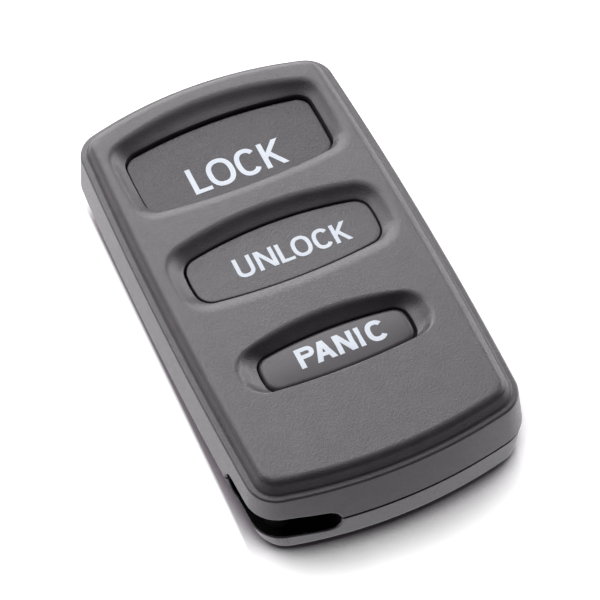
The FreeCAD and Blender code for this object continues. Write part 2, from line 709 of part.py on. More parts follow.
def key_mat():
    """The rubber sheet on the board, open where the domes stand."""
    sheet_blank = plate("mat", board_width - s.mat_margin * 2, board_length
                        - s.mat_margin * 2, s.mat_thickness, s.board_corner,
                        (0.0, board_place), board_top)
    holes = [cylinder(f"mat_hole_{key.name}", dome_foot_radius + s.dome_clearance,
                      s.mat_thickness, (0.0, key.place), board_top) for key in KEYS]
    return node("key_mat", cut("mat_open", sheet_blank, *holes))


def rubber_dome(key):
    """The part of the key mat that stands up over a switch and gives when its key is pressed."""
    inner_foot = dome_foot_radius - s.dome_wall
    inner_crown = s.dome_crown_radius - s.dome_wall
    roof_under = plunger_top - board_top
    roof = roof_under + s.dome_roof
    points = [(inner_foot, 0.0), (dome_foot_radius, 0.0), (dome_foot_radius, s.switch_height),
              (s.dome_crown_radius, roof), (0.0, roof), (0.0, roof_under),
              (inner_crown, roof_under), (inner_foot, s.switch_height)]
    return node(f"{key.name}_rubber_dome",
                turned(f"{key.name}_rubber", points, (0.0, key.place), board_top))


def push_switch(key):
    """The housing of a small push switch: a square case, open inside and through its cover."""
    centre = (0.0, key.place)
    case = box(f"{key.name}_switch_case", s.switch_side, s.switch_side, s.switch_height, centre,
               board_top)
    room = cylinder(f"{key.name}_switch_room", s.switch_bore_radius,
                    s.switch_height - s.switch_base - s.switch_cover, centre,
                    board_top + s.switch_base)
    hole = cylinder(f"{key.name}_switch_hole", s.plunger_radius + s.plunger_clearance,
                    s.switch_cover, centre, switch_top - s.switch_cover)
    return node(f"{key.name}_switch", cut(f"{key.name}_switch_open", case, room, hole))


def switch_plunger(key):
    """The plunger of a push switch, held under the switch's cover by its flange."""
    flange_top = s.switch_height - s.switch_cover
    flange_base = flange_top - s.plunger_flange_thickness
    top = s.switch_height + s.plunger_stand
    points = [(0.0, flange_base), (s.plunger_flange_radius, flange_base),
              (s.plunger_flange_radius, flange_top), (s.plunger_radius, flange_top),
              (s.plunger_radius, top), (0.0, top)]
    return node(f"{key.name}_plunger",
                turned(f"{key.name}_plunger", points, (0.0, key.place), board_top))


def snap_dome(key):
    """The thin metal dome in a push switch that clicks and lifts the plunger."""
    rise = (s.switch_height - s.switch_cover - s.plunger_flange_thickness - s.switch_base
            - s.snap_dome_gap)
    shoulder = s.snap_dome_shoulder
    shoulder_rise = rise - s.snap_dome_crown
    points = [(s.snap_dome_radius - s.snap_dome_thickness, 0.0), (s.snap_dome_radius, 0.0),
              (shoulder, shoulder_rise), (0.0, rise), (0.0, rise - s.snap_dome_thickness),
              (shoulder - s.snap_dome_thickness, shoulder_rise - s.snap_dome_thickness)]
    return node(f"{key.name}_snap_dome", turned(f"{key.name}_snap", points, (0.0, key.place),
                                                board_top + s.switch_base))


def coin_cell():
    """The coin cell: a can with a smaller raised cap on the side towards the board."""
    can_top = s.cell_thickness - s.cell_cap_height
    edge = s.cell_cap_height
    points = [(0.0, 0.0), (s.cell_radius - edge, 0.0), (s.cell_radius, edge),
              (s.cell_radius, can_top - edge), (s.cell_radius - edge, can_top),
              (s.cell_cap_radius, can_top), (s.cell_cap_radius - edge, s.cell_thickness),
              (0.0, s.cell_thickness)]
    return node("coin_cell", turned("cell", points, (0.0, cell_place), cell_bottom))


def positive_contact():
    """The strip under the cell that rises beside it to the board."""
    thick = s.contact_thickness
    riser = -s.contact_reach
    rise = board_bottom - s.rear_floor
    points = [(0.0, 0.0), (0.0, thick), (riser + thick, thick), (riser + thick, rise),
              (riser - s.contact_foot, rise), (riser - s.contact_foot, rise - thick),
              (riser, rise - thick), (riser, 0.0)]
    return node("positive_contact", strip("positive", points, s.contact_width,
                                          (0.0, cell_place), s.rear_floor))


def negative_contact():
    """The leaf under the board that bears on the cell's cap."""
    thick = s.contact_thickness
    rise = s.leaf_height
    pad_end = s.contact_width / 2
    slope_end = s.contact_reach - s.contact_foot
    end = s.contact_reach + s.contact_foot
    points = [(0.0, 0.0), (pad_end, 0.0), (slope_end, rise - thick), (end, rise - thick),
              (end, rise), (slope_end, rise), (pad_end, thick), (0.0, thick)]
    return node("negative_contact", strip("negative", points, s.contact_width,
                                          (0.0, cell_place), cell_top))


def control_chip():
    """The control chip under the board, with a row of leads on each long side."""
    centre = (-s.chip_across, chip_along)
    case = box("chip_case", s.chip_width, s.chip_length, s.chip_height, centre,
               board_bottom - s.chip_height)
    rows = [case]
    row_start = (s.chip_lead_pitch * (CHIP_LEADS - 1)) / 2
    for index in range(CHIP_LEADS):
        along = chip_along - row_start + s.chip_lead_pitch * index
        rows.append(box(f"chip_lead_{index}", s.chip_width + s.chip_lead_reach * 2,
                        s.chip_lead_width, s.chip_lead_thickness, (-s.chip_across, along),
                        board_bottom - s.chip_lead_thickness))
    return node("control_chip", fuse("chip", *rows))


def resonator():
    """The round metal resonator can under the board."""
    low = s.resonator_height
    rim = s.resonator_rim_height
    outer = s.resonator_radius
    can = outer - s.resonator_rim
    edge = s.resonator_rim / 2
    points = [(0.0, 0.0), (can - edge, 0.0), (can, edge), (can, low - rim), (outer, low - rim),
              (outer, low), (0.0, low)]
    return node("resonator", turned("resonator_can", points, (s.resonator_across, chip_along),
                                    board_bottom - low))


def aerial():
    """The strip loop around the board's far end that sends the signal."""
    span = board_width - s.aerial_margin * 2
    base = board_bottom - s.aerial_thickness
    high_end = board_high_end - s.aerial_margin
    legs_centre = high_end - s.aerial_length / 2
    leg_across = span / 2 - s.aerial_width / 2
    bridge = box("aerial_bridge", span, s.aerial_width, s.aerial_thickness,
                 (0.0, high_end - s.aerial_width / 2), base)
    legs = [box(f"aerial_leg_{side}", s.aerial_width, s.aerial_length, s.aerial_thickness,
                (across, legs_centre), base)
            for side, across in (("left", -leg_across), ("right", leg_across))]
    return node("aerial_loop", fuse("aerial", bridge, *legs))


def small_components(name, side):
    """A row of small components under the board's ring end, as one group of like pieces."""
    row = board_low_end + s.small_row_inset
    pieces = []
    for index in range(SMALL_COUNT):
        across = (s.contact_width / 2 + s.small_pitch * (index + 0.5)) * side
        pieces.append(box(f"{name}_{index}", s.small_width, s.small_length, s.small_height,
                          (across, row), board_bottom - s.small_height))
    group = doc.addObject("Part::Compound", f"{name}_group")
    group.Links = pieces
    return node(name, group)


def case_screw():
    """The screw that holds the two halves together, with a cross recess in its head."""
    shank = s.screw_radius
    head = s.screw_head_height
    point = head + s.screw_length
    points = [(0.0, 0.0), (s.screw_head_radius, 0.0), (s.screw_head_radius, head), (shank, head),
              (shank, point - shank), (shank / 3, point), (0.0, point)]
    blank = turned("screw", points, screw_place, screw_head_bottom)
    slots = [box("screw_slot_across", s.screw_slot_length, s.screw_slot_width,
                 s.screw_slot_depth, screw_place, screw_head_bottom),
             box("screw_slot_along", s.screw_slot_width, s.screw_slot_length,
                 s.screw_slot_depth, screw_place, screw_head_bottom)]
    return node("case_screw", cut("screw_crossed", blank, *slots))


def build():
    """Make every sub-part in the order in which the fob is put together."""
    rear_cover()
    positive_contact()
    coin_cell()
    negative_contact()
    circuit_board()
    control_chip()
    resonator()
    aerial()
    small_components("chip_capacitors", -1)
    small_components("chip_resistors", 1)
    key_mat()
    for key in KEYS:
        push_switch(key)
        switch_plunger(key)
        snap_dome(key)
        rubber_dome(key)
        hard_key(key)
    front_cover()
    case_screw()
    doc.recompute()


def check():
    """Stop if any object failed or any sub-part is not a sound solid."""
    for item in doc.Objects:
        if "Invalid" in item.State or "Error" in item.State:
            raise RuntimeError(f"{item.Label} failed: {item.State}")
    for name, item in nodes.items():
        shape = item.Shape
        if shape.isNull() or not shape.isValid() or not shape.Solids:
            raise RuntimeError(f"{name} is not a sound solid")
        print(f"{name}: {len(shape.Solids)} solids, {shape.Volume:.2f} mm3")


build()
check()
os.makedirs("parts", exist_ok=True)
for node_name, item in nodes.items():
    item.Shape.exportStep(os.path.join("parts", f"{node_name}.step"))
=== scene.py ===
"""A key fob: two casing halves, three hard keys and their legends, dressed around its CAD.

Shapes are worked out in millimetres, with the same outlines, heights and names as in the CAD,
and put into meshes in metres.
"""
import math
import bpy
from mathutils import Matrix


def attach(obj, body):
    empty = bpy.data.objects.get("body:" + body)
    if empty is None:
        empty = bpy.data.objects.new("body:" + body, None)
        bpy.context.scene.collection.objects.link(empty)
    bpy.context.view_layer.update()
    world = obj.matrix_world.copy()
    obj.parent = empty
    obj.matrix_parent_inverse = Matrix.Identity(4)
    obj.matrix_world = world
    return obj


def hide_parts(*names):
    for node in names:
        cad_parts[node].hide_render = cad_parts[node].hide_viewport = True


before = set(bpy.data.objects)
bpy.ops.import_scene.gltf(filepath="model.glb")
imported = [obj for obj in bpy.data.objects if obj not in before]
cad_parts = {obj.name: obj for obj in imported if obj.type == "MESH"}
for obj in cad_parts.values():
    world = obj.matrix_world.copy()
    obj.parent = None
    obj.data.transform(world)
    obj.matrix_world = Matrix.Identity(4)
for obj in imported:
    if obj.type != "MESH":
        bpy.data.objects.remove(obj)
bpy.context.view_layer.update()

from types import SimpleNamespace

import bmesh
import bpy
import numpy as np
from mathutils import Vector
from mathutils.geometry import delaunay_2d_cdt

MM = 0.001
WELD = 2e-4
SHARP_ANGLE = math.radians(38)

# Steps along a whole outline, along its edges, round its corners, round an eased corner, round
# a circle, across a key's top and along the slot's mouth
OUTLINE_STEPS = 4000
EDGE_STEPS = 30
BEND_STEPS = 12
EASE_STEPS = 7
TURN_STEPS = 96
CAP_STEPS = 26
MOUTH_STEPS = 60


def outline(half_width, low, high, side_bow, low_bow, high_bow, corner):
    """The seven sizes of an outline of four bowed edges and four round corners."""
    return SimpleNamespace(half_width=half_width, low=low, high=high, side_bow=side_bow,
                           low_bow=low_bow, high_bow=high_bow, corner=corner)


# Millimetres from here on. The casing: its outline, the heights of its parting line, ledge and
# face, how far each edge lies in from the outline, the cuts that round the edges, and the front
# wall's lean for a millimetre of height
CASE = outline(17.5, -31.0, 31.0, 590.0, 60.0, 48.0, 4.3)
SQUARE_CORNER = np.array((-CASE.half_width, CASE.low))
PARTING = 5.4
LEDGE = 11.1
FACE = 12.7
LEDGE_EDGE_INSET = 0.6
LEDGE_FOOT_INSET = 1.35
FACE_INSET = 2.2
FACE_MARGIN = 1.2
FRONT_WALL = 1.8
FRONT_WALL_UNDERCUT = 0.4
FRONT_EDGE_CUTS = (0.05, 0.05, 0.1, 0.27, 0.24, 0.7)
FRONT_LEAN = LEDGE_EDGE_INSET / (LEDGE - PARTING)

# The rear half. Its wall is drawn in at the foot, by the whole at the left wall and by a tenth
# of it at the right
REAR_STEP = 0.15
REAR_FOOT_INSET = 0.85
REAR_LEAN = (REAR_FOOT_INSET - REAR_STEP) / PARTING
REAR_BACK_INSET = 3.0
REAR_EDGE_CUTS = (1.44, 0.08, 0.05, 0.05)
REAR_DRAWN_IN = 1.0
REAR_DRAWN_SHARES = (1.0, 0.1)
REAR_FLOOR = 1.4
REAR_WALL_INSET = 2.7

# The shadow gap along the parting line and the lip behind it
GAP_LOW = 5.2
GAP_HIGH = 5.75
GAP_DEPTH = 0.8
LIP_INSET = 1.9
LIP_HEIGHT = 1.0

# The seat under the face that the keys' flanges rise to
SEAT = 9.8

# The key ring's slot: the block that closes it in, its pocket, its mouth's soft rim, how far the
# pocket's far end hangs lower, and its post. The mouth's tool starts ahead of the wall and ends
# behind the rim, tucked into the pocket
BLOCK_RADIUS = 12.2
LIP_BLOCK_RADIUS = 12.3
POCKET_RADIUS = 10.9
POCKET_LOW = 3.7
POCKET_HIGH = 7.6
POCKET_ROUND = 1.75
MOUTH_EASE = 0.35
POCKET_CENTRE = np.array((-18.2, -31.0))
POCKET_SAG = 0.6
POCKET_SAG_SPAN = (-14.0, -7.5)
POCKET_STEPS = 12
POCKET_MARGIN = 0.05
MOUTH_PASSED = 0.8
MOUTH_TUCK = 0.2
MOUTH_AHEAD = 1.0
MOUTH_BEHIND = 0.4
RING_POST = (-13.4, -26.1)
RING_POST_RADIUS = 1.5

# Keys: the gap round them, their flanges, walls, stems and edges, and the panic key's drum
KEY_GAP = 0.2
FLANGE_WIDTH = 0.8
FLANGE_LOW = 9.0
KEY_WALL = 1.0
PANIC_CROWN = 28.0
PANIC_DROOP = 0.12
KEY_ROOF = 1.3
STEM_RADIUS = 1.5
STEM_LOW = 8.8
KEY_EDGE_CUTS = (0.08, 0.08, 0.05)
KEY_TOP_MARGIN = 1.5
CROWN_ABOVE_SEAT = 0.5

# Posts, bosses, holes and ribs inside, each rooted a little way into what carries it, and cuts
# that start past a surface. A hole is its radius and the height that it ends at
BOARD_LOW = 4.4
MAT_HIGH = 6.2
BOARD_POSTS = [(across, along) for across in (-12.3, 12.3) for along in (9.575, -6.1)]
BOARD_POST_RADIUS = 1.2
ROOTED = 0.3
SCREW = (4.0, -24.0)
SCREW_BOSS_RADIUS = 2.5
SCREW_BOSS_HOLE = (1.05, 9.6)
SCREW_TUBE_RADIUS = 3.4
SCREW_HEAD_HOLE = (2.1, 2.2)
SCREW_SHANK_HOLE = (1.2, 9.0)
PAST = 1.0
RECESS = outline(9.0, -7.0, 17.0, 900.0, 900.0, 900.0, 1.2)
RECESS_DEPTH = 0.3
CELL_CENTRE = (0.0, 1.6)
CRADLE_RADII = (10.3, 11.4)
CRADLE_HIGH = 3.2
CRADLE_MOUTH = 4.5

# The soft rims of the wells, at the face and at the opening, and the hollow of their slopes for
# a width of one
WELL_RIM_EASE = 0.5
WELL_LIP_EASE = 0.12
WELL_HOLLOW = 0.03

# Shares of a well's slope: of its length and its width that the soft rim may take, then for
# its knee and its bend the share on an even slope and what a full shoulder takes off it
RIM_OF_LENGTH = 0.3
RIM_OF_WIDTH = 0.35
RIM_LEAST = 0.05
SHOULDER_POWER = 1.5
KNEE_ACROSS = (0.45, 0.15)
KNEE_DOWN = (0.55, 0.29)
KNEE_BEND = (0.22, 0.1)


def key(name, along, width, length, bows, corner, top, edge, well, shoulder, rest):
    """A key and its well: outlines of the key, of its opening and of the well's rim.

    shoulder is how far the well's low side bulges from an even slope to a shelf over a drop,
    and rest is how far off the middle of its opening the key lies.
    """
    high_bow, low_bow, side_bow = bows
    low, high = along - length / 2, along + length / 2
    drop, upper, lower, side, rim_bows, rim_corner = well
    rim_high_bow, rim_low_bow, rim_side_bow = rim_bows
    return SimpleNamespace(
        name=name, along=along, top=top, edge=edge, drop=drop, shoulder=shoulder, rest=rest,
        outline=outline(width / 2, low, high, side_bow, low_bow, high_bow, corner),
        rim=outline(width / 2 + KEY_GAP + side, low - KEY_GAP - lower, high + KEY_GAP + upper,
                    rim_side_bow, rim_low_bow, rim_high_bow, rim_corner))


LOCK = key("lock", 18.3, 23.9, 11.2, (55.15, 64.15, 90.15), 1.85, 11.15, 0.15,
           (1.1, 2.45, 1.2, 1.55, (34.0, 100.0, 90.0), 2.9), 1.0, (-0.08, -0.08))
UNLOCK = key("unlock", 2.2, 23.3, 8.5, (46.15, 67.15, 14.15), 2.05, 11.35, 0.15,
             (1.1, 1.85, 1.55, 1.75, (42.0, 82.0, 20.0), 3.6), 1.0, (0.12, 0.12))
PANIC = key("panic", -13.2, 18.4, 6.1, (50.15, 70.15, 9.15), 1.65, 11.7, 0.55,
            (1.3, 1.6, 0.3, 2.25, (32.5, 77.0, 14.0), 3.05), 0.0, (-0.05, 0.05))
KEYS = (LOCK, UNLOCK, PANIC)


def unit(vectors):
    """Vectors brought to length one."""
    return vectors / np.maximum(np.linalg.norm(vectors, axis=-1, keepdims=True), 1e-12)


def circles_meet(first, first_radius, second, second_radius, toward):
    """Where pairs of circles meet, on the side of the given points."""
    gap = second - first
    distance = np.linalg.norm(gap, axis=-1)
    along = (first_radius ** 2 - second_radius ** 2 + distance ** 2) / (2 * distance)
    aside = np.sqrt(first_radius ** 2 - along ** 2)
    direction = gap / distance[:, None]
    foot = first + direction * along[:, None]
    side = np.stack([-direction[:, 1], direction[:, 0]], -1) * aside[:, None]
    nearer = (np.linalg.norm(foot + side - toward, axis=-1)
              < np.linalg.norm(foot - side - toward, axis=-1))
    return np.where(nearer[:, None], foot + side, foot - side)


def fan(start, end, steps):
    """Unit vectors that turn counterclockwise from each start to each end, without the end."""
    first = np.arctan2(start[:, 1], start[:, 0])
    turn = (np.arctan2(end[:, 1], end[:, 0]) - first) % (2 * math.pi)
    angles = first[:, None] + turn[:, None] * np.linspace(0, 1, steps, endpoint=False)
    return np.stack([np.cos(angles), np.sin(angles)], -1)


def ring(shape, inset=0.0):
    """Points once round an outline, moved in by an inset.

    Each edge is an arc about its own centre and each corner a smaller arc tangent to two of
    them, so a point is centre + (radius - inset) * (cosine, sine) of its angle, and the same
    angles serve for every inset.
    """
    middle = (shape.low + shape.high) / 2
    centres = np.array([(shape.half_width - shape.side_bow, middle),
                        (0.0, shape.high - shape.high_bow),
                        (shape.side_bow - shape.half_width, middle),
                        (0.0, shape.low + shape.low_bow)])
    radii = np.array([shape.side_bow, shape.high_bow, shape.side_bow, shape.low_bow])
    squares = np.array([(shape.half_width, shape.high), (-shape.half_width, shape.high),
                        (-shape.half_width, shape.low), (shape.half_width, shape.low)])
    after = np.roll(centres, -1, axis=0)
    bends = circles_meet(centres, radii - shape.corner, after,
                         np.roll(radii, -1) - shape.corner, squares)
    before = np.roll(bends, 1, axis=0)
    edges = centres[:, None] + (radii - inset)[:, None, None] * fan(
        before - centres, bends - centres, EDGE_STEPS)
    corners = bends[:, None] + (shape.corner - inset) * fan(
        bends - centres, bends - after, BEND_STEPS)
    return np.concatenate([edges, corners], axis=1).reshape(-1, 2)


def raised(points, height):
    """Plan points at a height, which may differ from point to point."""
    heights = np.broadcast_to(np.asarray(height, float), points.shape[:-1])
    return np.concatenate([points, heights[..., None]], axis=-1)


def eased(path, cuts):
    """A path with each inner corner cut back by a length and rounded.

    The round is the rational curve through the two cut points with the corner as its control
    point, weighted by the cosine of half the turn, which is an exact circular arc.
    """
    path = np.asarray(path, float)
    cuts = np.asarray(cuts, float)[..., None]
    before = unit(path[..., 1:-1, :] - path[..., :-2, :])
    after = unit(path[..., 2:, :] - path[..., 1:-1, :])
    cosine = (before * after).sum(-1, keepdims=True)
    weight = np.sqrt((1 + cosine) / 2)[..., None, :]
    share = np.linspace(0, 1, EASE_STEPS)[:, None]
    corner = path[..., 1:-1, None, :]
    start = corner - (before * cuts)[..., None, :]
    end = corner + (after * cuts)[..., None, :]
    low, middle, high = (1 - share) ** 2, 2 * share * (1 - share) * weight, share ** 2
    arcs = (start * low + corner * middle + end * high) / (low + middle + high)
    arcs = arcs.reshape(*path.shape[:-2], -1, 2)
    return np.concatenate([path[..., :1, :], arcs, path[..., -1:, :]], axis=-2)


def casing_rings(path):
    """Rings of the casing's outline at each inset and height of a path."""
    return np.stack([raised(ring(CASE, inset), height) for inset, height in path])


def clear_of_block(rings, radius=BLOCK_RADIUS):
    """Rings pushed straight away from the square corner until they clear the pocket's block."""
    away = rings[..., :2] - SQUARE_CORNER
    stretch = np.maximum(1.0, radius / np.linalg.norm(away, axis=-1, keepdims=True))
    return np.concatenate([SQUARE_CORNER + away * stretch, rings[..., 2:]], axis=-1)


def skin(rings):
    """Quads between rings that follow each other, each closed on itself.

    Rings run counterclockwise seen from above and follow each other outwards below, up the
    outside and inwards above, so that the quads face out.
    """
    count, around = rings.shape[:2]
    index = np.arange(count * around).reshape(count, around)
    ahead = np.roll(index, -1, axis=1)
    quads = np.stack([index[:-1], ahead[:-1], ahead[1:], index[1:]], -1).reshape(-1, 4)
    return rings.reshape(-1, 3), quads.tolist()


def outward(points, faces):
    """A closed skin of quads, turned round if the volume that they enclose is negative.

    The volume is a sixth of the sum of first . (second x third) over two triangles a quad.
    """
    first, second, third, fourth = points[np.array(faces)].transpose(1, 0, 2)
    volume = (first * (np.cross(second, third) + np.cross(third, fourth))).sum()
    return points, faces if volume > 0 else [face[::-1] for face in faces]


def flat(outer, holes, height, faces_up=True):
    """Triangles that fill a loop except for the holes in it, all at one height."""
    loops = [outer, *holes]
    ends = np.cumsum([len(loop) for loop in loops]).tolist()
    starts = [0, *ends[:-1]]
    sources = [list(range(start, end)) for start, end in zip(starts, ends)]
    points, _, triangles, _, _, inside = delaunay_2d_cdt(
        [Vector(point) for point in np.concatenate(loops)], [], sources, 1, WELD / 10)
    kept = np.array([face for face, within in zip(triangles, inside) if within == [0]])
    if not faces_up:
        kept = kept[:, ::-1]
    return raised(np.array(points), height), kept.tolist()


def turned(path, centre):
    """A closed skin: each radius and height of a path carried round an upright axis."""
    angles = np.linspace(0, 2 * math.pi, TURN_STEPS, endpoint=False)
    circle = np.stack([np.cos(angles), np.sin(angles)], -1)
    path = np.asarray(path, float)
    rings = np.asarray(centre) + path[:, :1, None] * circle
    return skin(raised(rings, path[:, 1:]))


def column(radius, low, high, centre):
    """A closed upright cylinder."""
    return turned([(0, low), (radius, low), (radius, high), (0, high)], centre)


def mesh_of(name, *parts):
    """One mesh in metres from skins in millimetres, welded where they meet."""
    points = np.concatenate([part[0] for part in parts])
    starts = np.cumsum([0] + [len(part[0]) for part in parts])
    faces = [[start + corner for corner in face]
             for start, (_, part_faces) in zip(starts.tolist(), parts) for face in part_faces]
    mesh = bpy.data.meshes.new(name)
    mesh.from_pydata((points * MM).tolist(), [], faces)
    work = bmesh.new()
    work.from_mesh(mesh)
    bmesh.ops.remove_doubles(work, verts=work.verts, dist=WELD * MM)
    bmesh.ops.dissolve_degenerate(work, edges=work.edges, dist=WELD * MM / 10)
    work.to_mesh(mesh)
    work.free()
    return mesh


def solid(name, *parts):
    """An object with the mesh of closed skins."""
    piece = bpy.data.objects.new(name, mesh_of(name, *parts))
    bpy.context.scene.collection.objects.link(piece)
    return piece


def combined(piece, operation, *parts):
    """A piece with each closed skin joined to it or cut from it."""
    for index, part in enumerate(parts):
        tool = solid(f"{piece.name}_tool_{index}", part)
        change = piece.modifiers.new("combine", "BOOLEAN")
        change.operation = operation
        change.solver = "EXACT"
        change.object = tool
        made = bpy.data.meshes.new_from_object(
            piece.evaluated_get(bpy.context.evaluated_depsgraph_get()))
        piece.modifiers.clear()
        piece.data = made
        bpy.data.objects.remove(tool)
    return piece


def painted_pocket_shade_faces(piece):
    """Which faces lie inside the ring slot, past the soft rim of its mouth, and get the near-black
    painted shade.
    """
    count = len(piece.data.polygons)
    middles = np.empty(count * 3)
    piece.data.polygons.foreach_get("center", middles)
    middles = middles.reshape(-1, 3) / MM
    plan, height = middles[:, :2], middles[:, 2]
    plan[:, 0] -= rear_shift(plan[:, 0], height)
    _, points, inwards = wall_run()
    to_wall = plan[:, None] - points[:-1]
    nearest = np.linalg.norm(to_wall, axis=-1).argmin(axis=1)
    inset = (to_wall[np.arange(count), nearest] * inwards[nearest]).sum(-1)
    reach = np.linalg.norm(plan - POCKET_CENTRE, axis=-1)
    wall = np.where(height > PARTING, (height - PARTING) * FRONT_LEAN,
                    REAR_STEP + (PARTING - height) * REAR_LEAN)
    height = height + pocket_sag(plan[:, 0])
    return ((reach < POCKET_RADIUS + POCKET_MARGIN)
            & (inset - wall > MOUTH_PASSED * MOUTH_EASE)
            & (height > POCKET_LOW - POCKET_MARGIN) & (height < POCKET_HIGH + POCKET_MARGIN))


def finished(piece, body, slot, material, *nodes):
    """A piece shaded smooth between its sharp edges, on its body, in place of CAD nodes."""
    piece.data.shade_smooth()
    piece.data.set_sharp_from_angle(angle=SHARP_ANGLE)
    weighted = piece.modifiers.new("even_shading", "WEIGHTED_NORMAL")
    weighted.keep_sharp = True
    weighted.weight = 100
    piece.data.materials.clear()
    piece.data.materials.append(material)
    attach(piece, body)
    if nodes:
        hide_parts(*nodes)


def joined(piece, *parts):
    """A piece with closed skins set into it."""
    extra = mesh_of("extra", *parts)
    work = bmesh.new()
    work.from_mesh(piece.data)
    work.from_mesh(extra)
    work.to_mesh(piece.data)
    work.free()
    bpy.data.meshes.remove(extra)
    return piece


def rib(sections):
    """A closed bar through four-cornered sections, with both ends filled."""
    points, faces = skin(sections)
    last = len(points) - 4
    return outward(points, faces + [[3, 2, 1, 0], [last, last + 1, last + 2, last + 3]])


def rear_shift(across, height):
    """How far the rear half's wall stands over to the right.

    The shift grows with the square of the depth below the parting line, and it falls evenly
    from the whole at the left wall to a tenth at the right.
    """
    below = np.clip((PARTING - height) / PARTING, 0.0, 1.0)
    share = np.interp(across, (-CASE.half_width, CASE.half_width), REAR_DRAWN_SHARES)
    return REAR_DRAWN_IN * share * below ** 2


def pocket_sag(across):
    """How far the ring slot hangs lower towards its far end on the low wall.

    With s the share of the way through the span, the sag is s * s * (3 - 2 * s) of the whole.
    """
    share = np.clip((across - POCKET_SAG_SPAN[0]) / np.ptp(POCKET_SAG_SPAN), 0.0, 1.0)
    return POCKET_SAG * share ** 2 * (3 - 2 * share)


def ring_pocket():
    """The pocket behind the slot: a turned disc with round edges that sags at its far end."""
    round_edge = eased([(0, POCKET_LOW), (POCKET_RADIUS, POCKET_LOW),
                        (POCKET_RADIUS, POCKET_HIGH), (0, POCKET_HIGH)],
                       [POCKET_ROUND, POCKET_ROUND])[1:-1]
    out = np.linspace(0.0, POCKET_RADIUS - POCKET_ROUND - MOUTH_TUCK, POCKET_STEPS)
    low, high = (np.stack([out, np.full_like(out, level)], -1)
                 for level in (POCKET_LOW, POCKET_HIGH))
    points, faces = turned(np.concatenate([low, round_edge, high[::-1]]), POCKET_CENTRE)
    points = np.array(points, float)
    points[:, 2] -= pocket_sag(points[:, 0])
    return points, faces


def wall_run():
    """The casing's outline as lengths along it, with the points and inward directions there."""
    points = ring(CASE)
    inwards = ring(CASE, 1.0) - points
    points, inwards = (np.concatenate([loop, loop[:1]]) for loop in (points, inwards))
    steps = np.linalg.norm(np.diff(points, axis=0), axis=-1)
    return np.concatenate([[0.0], np.cumsum(steps)]), points, inwards


def slot_mouth(foot, lean, shift=None):
    """The mouth of the key ring's slot with its soft rim, as a tool that cuts one half's wall.

    The mouth is a long round-ended loop on the wall, in length along the outline and height.
    At a depth of b - b * cosine of an angle, b being the rim's radius, the loop is larger by
    b - b * sine. The wall stands at an inset of foot at the parting line and leans by lean for
    each millimetre of height, and shift gives how far it stands over to the right.
    """
    run, points, inwards = wall_run()
    fine = np.linspace(0.0, run[-1], OUTLINE_STEPS)
    reach = np.hypot(*(np.interp(fine, run, points[:, axis]) - POCKET_CENTRE[axis]
                       for axis in (0, 1)))
    first, last = fine[reach < POCKET_RADIUS][[0, -1]]
    quarter = np.linspace(0.0, math.pi / 2, EASE_STEPS)
    growth = np.concatenate([[MOUTH_EASE], MOUTH_EASE * (1 - np.sin(quarter)), [-MOUTH_TUCK]])
    depth = np.concatenate([[-MOUTH_AHEAD], MOUTH_EASE * (1 - np.cos(quarter)),
                            [MOUTH_EASE + MOUTH_BEHIND]])
    share = (1 - np.cos(np.linspace(0.0, math.pi, MOUTH_STEPS))) / 2
    along = first - growth[:, None] + (last - first + 2 * growth[:, None]) * share
    to_end = np.minimum(along - along[:, :1], along[:, -1:] - along)
    bend = POCKET_ROUND + growth[:, None]
    half = ((POCKET_HIGH - POCKET_LOW) / 2 + growth[:, None] - bend
            + np.sqrt(bend ** 2 - np.maximum(bend - to_end, 0.0) ** 2))
    middle = (POCKET_HIGH + POCKET_LOW) / 2
    along = np.concatenate([along, along[:, ::-1]], axis=1)
    height = (np.concatenate([middle + half, (middle - half)[:, ::-1]], axis=1)
              - pocket_sag(np.interp(along, run, points[:, 0])))
    inset = depth[:, None] + foot + lean * (height - PARTING)
    plan = np.stack([np.interp(along, run, points[:, axis])
                     + np.interp(along, run, inwards[:, axis]) * inset for axis in (0, 1)], -1)
    if shift:
        plan[..., 0] += shift(plan[..., 0], np.minimum(height, PARTING))
    rings = raised(plan, height)
    points, faces = skin(rings)
    count = 2 * MOUTH_STEPS
    start = np.arange(MOUTH_STEPS - 1)
    lid = np.stack([start, start + 1, count - 2 - start, count - 1 - start], -1)
    base = (len(rings) - 1) * count
    return outward(points, faces + lid[:, ::-1].tolist() + (lid + base).tolist())


def well_rings(well):
    """Rings from the soft rim of a key's well down its slope and through the opening.

    Across the slope each ring point lies on a path from the face through a knee to the
    opening's outline, whose length differs from point to point. The knee's place is a share of
    the slope's width and its depth a share of the drop, plus a hollow that grows with the
    width squared. Towards the well's low side the shoulder takes its part off each share, as
    the downward part of the outward direction to a power. The path's corners are eased.
    """
    opening = ring(well.outline, -KEY_GAP)
    rim = ring(well.rim)
    width = np.linalg.norm(rim - opening, axis=-1)
    outwards = unit(rim - opening)
    length = np.hypot(width, well.drop)
    level = np.ones_like(width)
    soft = np.minimum(np.minimum(WELL_RIM_EASE, RIM_OF_LENGTH * length),
                      RIM_OF_WIDTH * width + RIM_LEAST)
    low_side = well.shoulder * np.clip(-outwards[:, 1], 0.0, 1.0) ** SHOULDER_POWER
    across_share, down_share, bend_share = (
        even - taken * low_side for even, taken in (KNEE_ACROSS, KNEE_DOWN, KNEE_BEND))
    hollow = (1 - low_side) * WELL_HOLLOW * width ** 2
    path = np.stack([
        np.stack([width + soft, FACE * level], -1),
        np.stack([width, FACE * level], -1),
        np.stack([across_share * width, FACE - down_share * well.drop - hollow], -1),
        np.stack([0 * level, (FACE - well.drop) * level], -1),
        np.stack([0 * level, SEAT * level], -1)], axis=1)
    smooth = eased(path, np.stack([soft, bend_share * length, WELL_LIP_EASE * level], -1))
    across = opening[:, None] + outwards[:, None] * smooth[..., :1]
    return raised(across, smooth[..., 1]).transpose(1, 0, 2)


